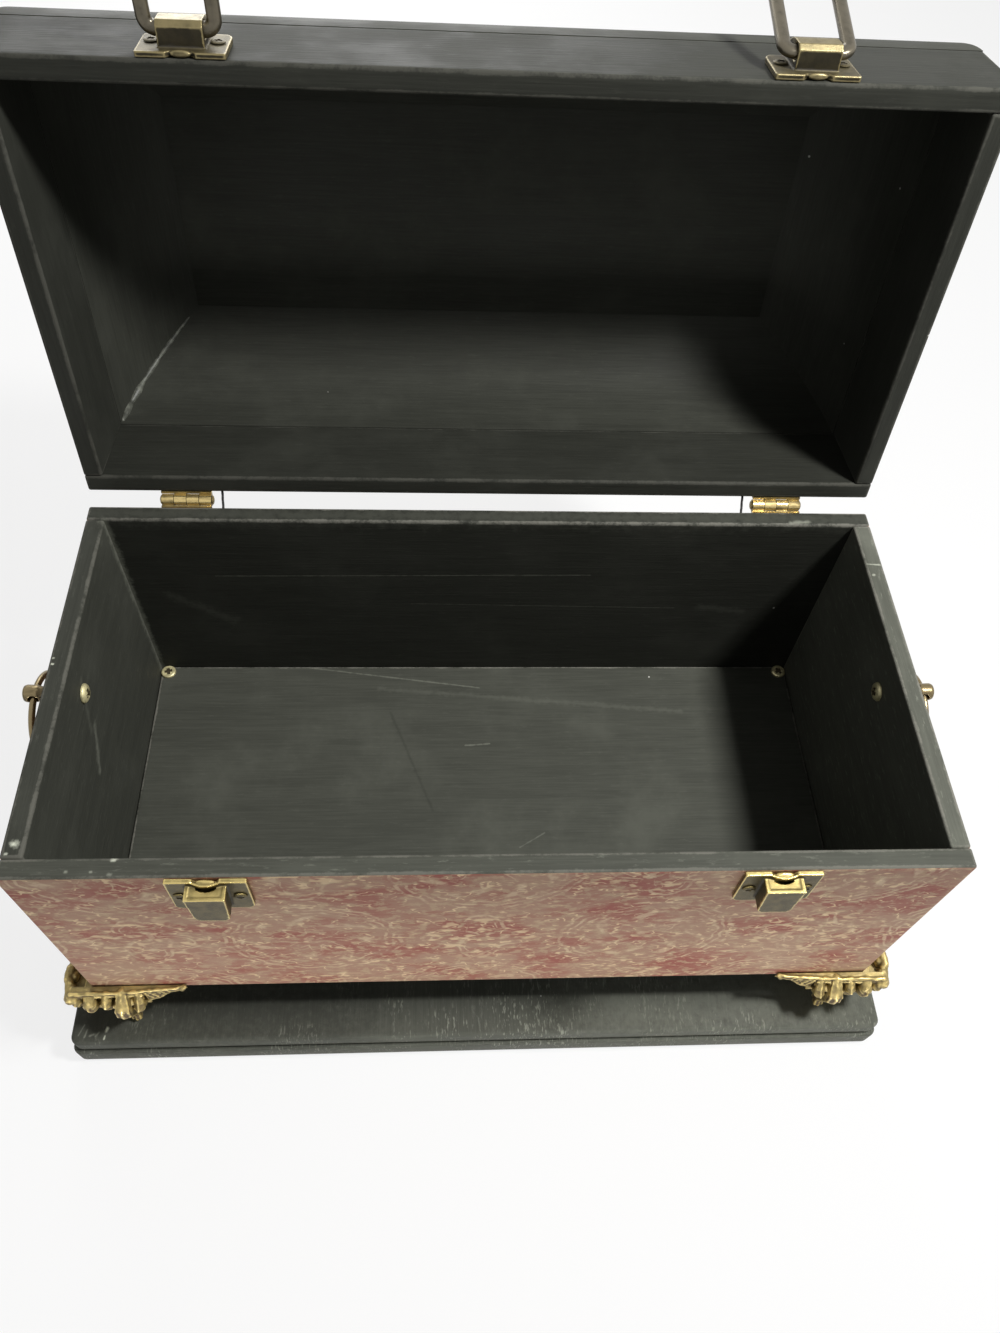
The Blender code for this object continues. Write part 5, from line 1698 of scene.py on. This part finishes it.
def loop_mesh(hand):
    """The swinging loop: a flat-oval wire whose bar lies on its joint's axis."""
    half = LOOP_INSIDE / 2 + LOOP_WIRE / 2
    far = LOOP_REACH + LOOP_WIRE / 2
    near = half - BLOCK_HALF - LOOP_PLAY
    path = arc((half - near, -near), near, 90, 0, 10)
    path += arc((half - LOOP_CORNER, -far + LOOP_CORNER), LOOP_CORNER, 0, -90, 10)
    path += arc((-half + LOOP_CORNER, -far + LOOP_CORNER), LOOP_CORNER, 270, 180, 10)
    path += arc((-half + near, -near), near, 180, 90, 10)
    fine = []
    for at, point in enumerate(path):
        after = path[(at + 1) % len(path)]
        steps = max(1, math.ceil(math.dist(point, after) / LOOP_SPACING))
        run, climb = after[0] - point[0], after[1] - point[1]
        fine += [(point[0] + run * s / steps, 0, point[1] + climb * s / steps) for s in range(steps)]
    mesh = swept(fine, rounded(LOOP_WIRE, LOOP_THICKNESS, LOOP_SQUARENESS, 20))
    pivot = Vector(JOINTS[hand + "_loop_swing"]["pos_m"])
    turn = Matrix.Rotation(LID_TURN - math.radians(LOOP_TURNS[hand]), 4, "X")
    mesh.transform(Matrix.Translation(pivot) @ turn @ TO_METRES)
    return add_relief(mesh, 2)


class STORAGE_BOX_OT_loops(bpy.types.Operator):
    """Make the two swinging loops"""

    bl_idname = "storage_box.loops"
    bl_label = "Latch loops"

    def execute(self, context):
        for hand in ("left", "right"):
            node = "latch_" + hand + "_loop"
            mesh = loop_mesh(hand)
            piece("bronze_" + node, mesh, [loop_bronze], hand + "_loop", [node], 60.0)
        return {"FINISHED"}


# Handles

POST_BASE_RADIUS = 0.0120
POST_RADIUS = 0.0042
POST_LENGTH = 0.0180
EYE_RADIUS = 0.0024
RING_RADIUS = 0.0215
RING_WIRE = 0.0015
RING_TURNS = 96
RING_SIDES = 16
SOCKET_RADIUS = 0.0021
SOCKET_DEPTH = 0.0081
POST_VOXEL = 0.00030
POST_KEEP = 0.4


def post_mesh(hand, sign):
    """The domed rose with its eye post, its screw socket at the back."""
    eye = Vector(JOINTS[hand + "_ring_swing"]["pos_m"])
    low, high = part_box("wall_" + hand)
    face = low.x if sign < 0 else high.x
    profile = (
        (0.0, POST_LENGTH), (POST_RADIUS * 0.55, POST_LENGTH - 0.0001),
        (POST_RADIUS * 0.9, POST_LENGTH - 0.0007), (POST_RADIUS, POST_LENGTH - 0.0018),
        (POST_RADIUS * 0.97, 0.0115), (POST_RADIUS * 0.80, 0.0095),
        (POST_RADIUS * 0.86, 0.0072), (POST_RADIUS * 1.25, 0.0057), (0.0068, 0.0051), (0.0085, 0.0041),
        (0.0098, 0.0034), (0.0106, 0.0030), (0.0109, 0.0024), (0.0116, 0.0022), (POST_BASE_RADIUS, 0.0013),
        (POST_BASE_RADIUS, SEAM), (SOCKET_RADIUS, SEAM), (SOCKET_RADIUS, SOCKET_DEPTH), (0.0, SOCKET_DEPTH),
    )
    mesh = lathe(profile, 48, aimed((sign, 0, 0), (face, eye.y, eye.z)))
    hole = rod(EYE_RADIUS, 6 * POST_RADIUS, (0, 1, 0), eye, 32)
    mesh = combined(mesh, [hole], "DIFFERENCE")
    mesh = cast(mesh, POST_VOXEL, 1, POST_KEEP)
    return add_relief(mesh, 2)


def ring_mesh(hand):
    """The hanging ring, round its joint's axis at the eye."""
    eye = Vector(JOINTS[hand + "_ring_swing"]["pos_m"])
    work = bmesh.new()
    rings = []
    for at in range(RING_TURNS):
        turn = 2 * math.pi * at / RING_TURNS
        centre = Vector((0, RING_RADIUS * math.sin(turn), RING_RADIUS * math.cos(turn) - RING_RADIUS))
        out = Vector((0, math.sin(turn), math.cos(turn)))
        thick = RING_WIRE * (1.0 + 0.04 * math.cos(turn))
        loop = []
        for side in range(RING_SIDES):
            around = 2 * math.pi * side / RING_SIDES
            across = Vector((thick * math.sin(around), 0, 0))
            loop.append(work.verts.new(eye + centre + out * thick * math.cos(around) + across))
        rings.append(loop)
    bridge(work, rings, closed=True)
    return add_relief(made_mesh(work), 2)


class STORAGE_BOX_OT_handles(bpy.types.Operator):
    """Make the two drop-ring handles"""

    bl_idname = "storage_box.handles"
    bl_label = "Ring handles"

    def execute(self, context):
        for hand, sign in (("left", -1), ("right", 1)):
            node = "handle_" + hand + "_post"
            mesh = post_mesh(hand, sign)
            piece("bronze_" + node, mesh, [handle_bronze], "box", [node], 60.0)
            node = "handle_" + hand + "_ring"
            mesh = ring_mesh(hand)
            piece("bronze_" + node, mesh, [handle_bronze], hand + "_ring", [node], 80.0)
        return {"FINISHED"}


# Screws, their heads from the middle to the rim: share of the radius, share of the height

DOMED_HEAD = ((0.0, 1.0), (0.35, 0.98), (0.65, 0.86), (0.88, 0.62), (1.0, 0.28), (1.0, 0.0))
FLAT_HEAD = ((0.0, 1.0), (0.50, 1.0), (0.82, 0.97), (0.95, 0.72), (1.0, 0.35), (1.0, 0.0))
# A cut's half length and half width as shares of the head's radius, and its floor as a share of its height
CROSS_CUT = (0.54, 0.21, 0.35)
SLOT_CUT = (1.2, 0.17, 0.45)


def screw_mesh(place, head, head_radius, head_height, shank_radius, shank_length, cross):
    """A screw with a slot or a cross in its head."""
    profile = [(head_radius * out, head_height * up) for out, up in head]
    profile += [(shank_radius, 0.0), (shank_radius, -shank_length * 0.75), (0.0, -shank_length)]
    mesh = lathe(profile, 32, Matrix.Identity(4))
    half_length, half_width, floor = CROSS_CUT if cross else SLOT_CUT
    long, wide, deep = head_radius * half_length, head_radius * half_width, head_height * floor
    cuts = [cuboid((-long, -wide, deep), (long, wide, 2 * head_height))]
    if cross:
        cuts.append(cuboid((-wide, -long, deep), (wide, long, 2 * head_height)))
    mesh = combined(mesh, cuts, "DIFFERENCE")
    # The cross's sunken faces take the second finish, a dark one that paints shade into the cut.
    for face in mesh.polygons:
        x, y, z = face.center
        sunk = math.hypot(x, y) < long and deep * 0.99 < z < head_height * 0.84
        face.material_index = 1 if cross and sunk else 0
    mesh.transform(place)
    return add_relief(mesh, 1)


# Each kind: node name's start, facing, head, its radius and height, shank radius, cross, finish and slot
SCREWS = (
    ("floor_screw_", (0, 0, 1), FLAT_HEAD, 0.0043, 0.0014, 0.0019, True, screw_brass, "bright_brass"),
    ("latch_screw_", (0, -1, 0), DOMED_HEAD, 0.0029, 0.0006, 0.0010, True, latch_brass, "aged_brass"),
    ("hinge_screw_", (0, 1, 0), DOMED_HEAD, 0.0025, 0.0007, 0.0009, False, hinge_brass, "bright_brass"),
    ("handle_", (1, 0, 0), DOMED_HEAD, 0.0047, 0.0024, 0.0018, True, screw_brass, "bright_brass"),
)
TURN_STEP = 37.0


class STORAGE_BOX_OT_screws(bpy.types.Operator):
    """Make the screws of the floor, the latches, the hinges and the handles"""

    bl_idname = "storage_box.screws"
    bl_label = "Screws"

    def execute(self, context):
        for node in sorted(frame["nodes"]):
            for start, facing, head, radius, height, shank, cross, maker, slot in SCREWS:
                if not node.startswith(start) or (start == "handle_" and not node.endswith("_screw")):
                    continue
                on_lid = "_lid_" in node
                low, high = shut_box(node) if on_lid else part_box(node)
                aim = Vector(facing)
                if node == "handle_right_screw":
                    aim = -aim
                middle = (low + high) / 2
                half = (high - low) / 2
                length = 2 * abs(half.dot(aim)) - height
                place = aimed(aim, middle + aim * (abs(half.dot(aim)) - height))
                turn = TURN_STEP * (len(node) + ord(node[-3])) % 180
                place = place @ Matrix.Rotation(math.radians(turn), 4, "Z")
                mesh = screw_mesh(place, head, radius, height, shank, length, cross)
                if on_lid:
                    mesh.transform(OPEN_LID)
                    maker = lid_latch_brass if start == "latch_screw_" else maker
                body = "lid" if on_lid else "box"
                makers = [maker, screw_recess] if cross else [maker]
                piece("turned_" + node, mesh, makers, body, [node], 30.0)
        return {"FINISHED"}


# Stage

FLOOR_HALF = 6.0
FLOOR_DROP = 0.0005
FLOOR_GLOW = 0.80
FLOOR_COLOUR = (0.86, 0.86, 0.85, 1.0)
WHITE = (1.0, 1.0, 1.0, 1.0)
# Each lamp: its name, place, aim, size, the setting of its power, and its spread in degrees
LAMPS = (
    ("overhead_lamp", (0.49, -0.11, 1.00), (0.0, 0.0, 0.10), (0.12, 0.12), "key_power", 180.0),
    ("front_lamp", (0.0, -0.75, 0.06), (0.0, -0.10, 0.07), (0.60, 0.06), "fill_power", 34.0),
    ("back_lamp", (-0.20, 1.30, 0.70), (0.0, 0.15, 0.25), (0.80, 0.80), "back_power", 180.0),
)


def lamp(name, place, aim, size, power, spread):
    """A soft lamp pointed at a place."""
    light = bpy.data.lights.new(name, "AREA")
    light.shape = "RECTANGLE"
    light.size, light.size_y = size
    light.spread = math.radians(spread)
    light.energy = getattr(settings(), power)
    item = bpy.data.objects.new(name, light)
    bpy.context.scene.collection.objects.link(item)
    item.location = place
    item.rotation_euler = (Vector(aim) - Vector(place)).to_track_quat("-Z", "Y").to_euler()


def seen_directly(graph):
    """1 for rays that show the backdrop itself: camera, mirror and glass rays."""
    path = graph.node("ShaderNodeLightPath").outputs
    mirrored = graph.maths("MAXIMUM", path["Is Glossy Ray"], path["Is Transmission Ray"])
    return graph.maths("MAXIMUM", path["Is Camera Ray"], mirrored)


def make_camera():
    """The camera at the photograph's view."""
    pitch, yaw, roll = CAMERA_PITCH, CAMERA_YAW, CAMERA_ROLL
    ahead = Vector((math.sin(yaw) * math.cos(pitch), math.cos(yaw) * math.cos(pitch), -math.sin(pitch)))
    level = Vector((math.cos(yaw), -math.sin(yaw), 0.0))
    down = ahead.cross(level)
    right = math.cos(roll) * level + math.sin(roll) * down
    below = -math.sin(roll) * level + math.cos(roll) * down
    data = bpy.data.cameras.new("photograph_view")
    data.sensor_fit = "AUTO"
    data.sensor_width = SENSOR
    data.lens = SENSOR * FOCAL_PIXELS / IMAGE_LONG_SIDE
    data.clip_start = 0.01
    item = bpy.data.objects.new("photograph_view", data)
    bpy.context.scene.collection.objects.link(item)
    turn = Matrix((right, -below, -ahead)).transposed().to_4x4()
    item.matrix_world = Matrix.Translation(CAMERA_PLACE) @ turn
    bpy.context.scene.camera = item


def make_surround(scene):
    """A white surround that lights the box faintly and shows at full strength."""
    world = bpy.data.worlds.new("white_surround")
    world.use_nodes = True
    scene.world = world
    graph = Graph(world.node_tree)
    back = world.node_tree.nodes["Background"]
    back.inputs["Color"].default_value = WHITE
    graph.feed(back.inputs["Strength"], graph.between(seen_directly(graph), settings().surround, 1.0))


def make_floor(scene):
    """A pale floor that glows where it is seen, so that only shadows show on it."""
    work = bmesh.new()
    bmesh.ops.create_grid(work, x_segments=2, y_segments=2, size=FLOOR_HALF)
    mesh = made_mesh(work)
    made, graph, shader, _ = surface("pale_floor")
    graph.feed(shader["Base Color"], FLOOR_COLOUR)
    graph.feed(shader["Roughness"], 0.9)
    glow = graph.node("ShaderNodeEmission")
    glow.inputs["Color"].default_value = WHITE
    mixed = graph.node("ShaderNodeMixShader")
    nodes = made.node_tree.nodes
    graph.feed(mixed.inputs[0], graph.times(seen_directly(graph), FLOOR_GLOW))
    graph.feed(mixed.inputs[1], nodes["Principled BSDF"].outputs[0])
    graph.feed(mixed.inputs[2], glow.outputs[0])
    graph.feed(nodes["Material Output"].inputs["Surface"], mixed.outputs[0])
    mesh.materials.append(made)
    ground = bpy.data.objects.new("pale_floor", mesh)
    scene.collection.objects.link(ground)
    ground.location.z = -FLOOR_DROP


class STORAGE_BOX_OT_stage(bpy.types.Operator):
    """Set up the camera, the lamps, the white surround and the pale floor"""

    bl_idname = "storage_box.stage"
    bl_label = "Stage"

    def execute(self, context):
        make_camera()
        context.scene.view_settings.view_transform = "Standard"
        for entry in LAMPS:
            lamp(*entry)
        make_surround(context.scene)
        make_floor(context.scene)
        return {"FINISHED"}


# Panel and registration

MAKERS = (
    STORAGE_BOX_OT_stage, STORAGE_BOX_OT_plinth, STORAGE_BOX_OT_feet, STORAGE_BOX_OT_walls,
    STORAGE_BOX_OT_floor, STORAGE_BOX_OT_lid, STORAGE_BOX_OT_glue, STORAGE_BOX_OT_hinges,
    STORAGE_BOX_OT_cords, STORAGE_BOX_OT_latches, STORAGE_BOX_OT_loops, STORAGE_BOX_OT_handles,
    STORAGE_BOX_OT_screws,
)


class STORAGE_BOX_PT_pieces(bpy.types.Panel):
    """Lists the box's sizes, colours and makers"""

    bl_label = "Storage box"
    bl_idname = "STORAGE_BOX_PT_pieces"
    bl_space_type = "VIEW_3D"
    bl_region_type = "UI"
    bl_category = "Storage box"

    def draw(self, context):
        column = self.layout.column()
        for key in StorageBoxSettings.__annotations__:
            column.prop(context.scene.storage_box, key)
        for maker in MAKERS:
            column.operator(maker.bl_idname)


CLASSES = (StorageBoxSettings, *MAKERS, STORAGE_BOX_PT_pieces)


def register():
    """Register the classes and hang the settings on the scene."""
    for entry in CLASSES:
        bpy.utils.register_class(entry)
    bpy.types.Scene.storage_box = bpy.props.PointerProperty(type=StorageBoxSettings)


def unregister():
    """Take the settings and classes away again."""
    del bpy.types.Scene.storage_box
    for entry in reversed(CLASSES):
        bpy.utils.unregister_class(entry)


def main():
    """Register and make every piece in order."""
    register()
    for maker in MAKERS:
        getattr(bpy.ops.storage_box, maker.bl_idname.split(".")[1])()


if __name__ == "__main__":
    main()
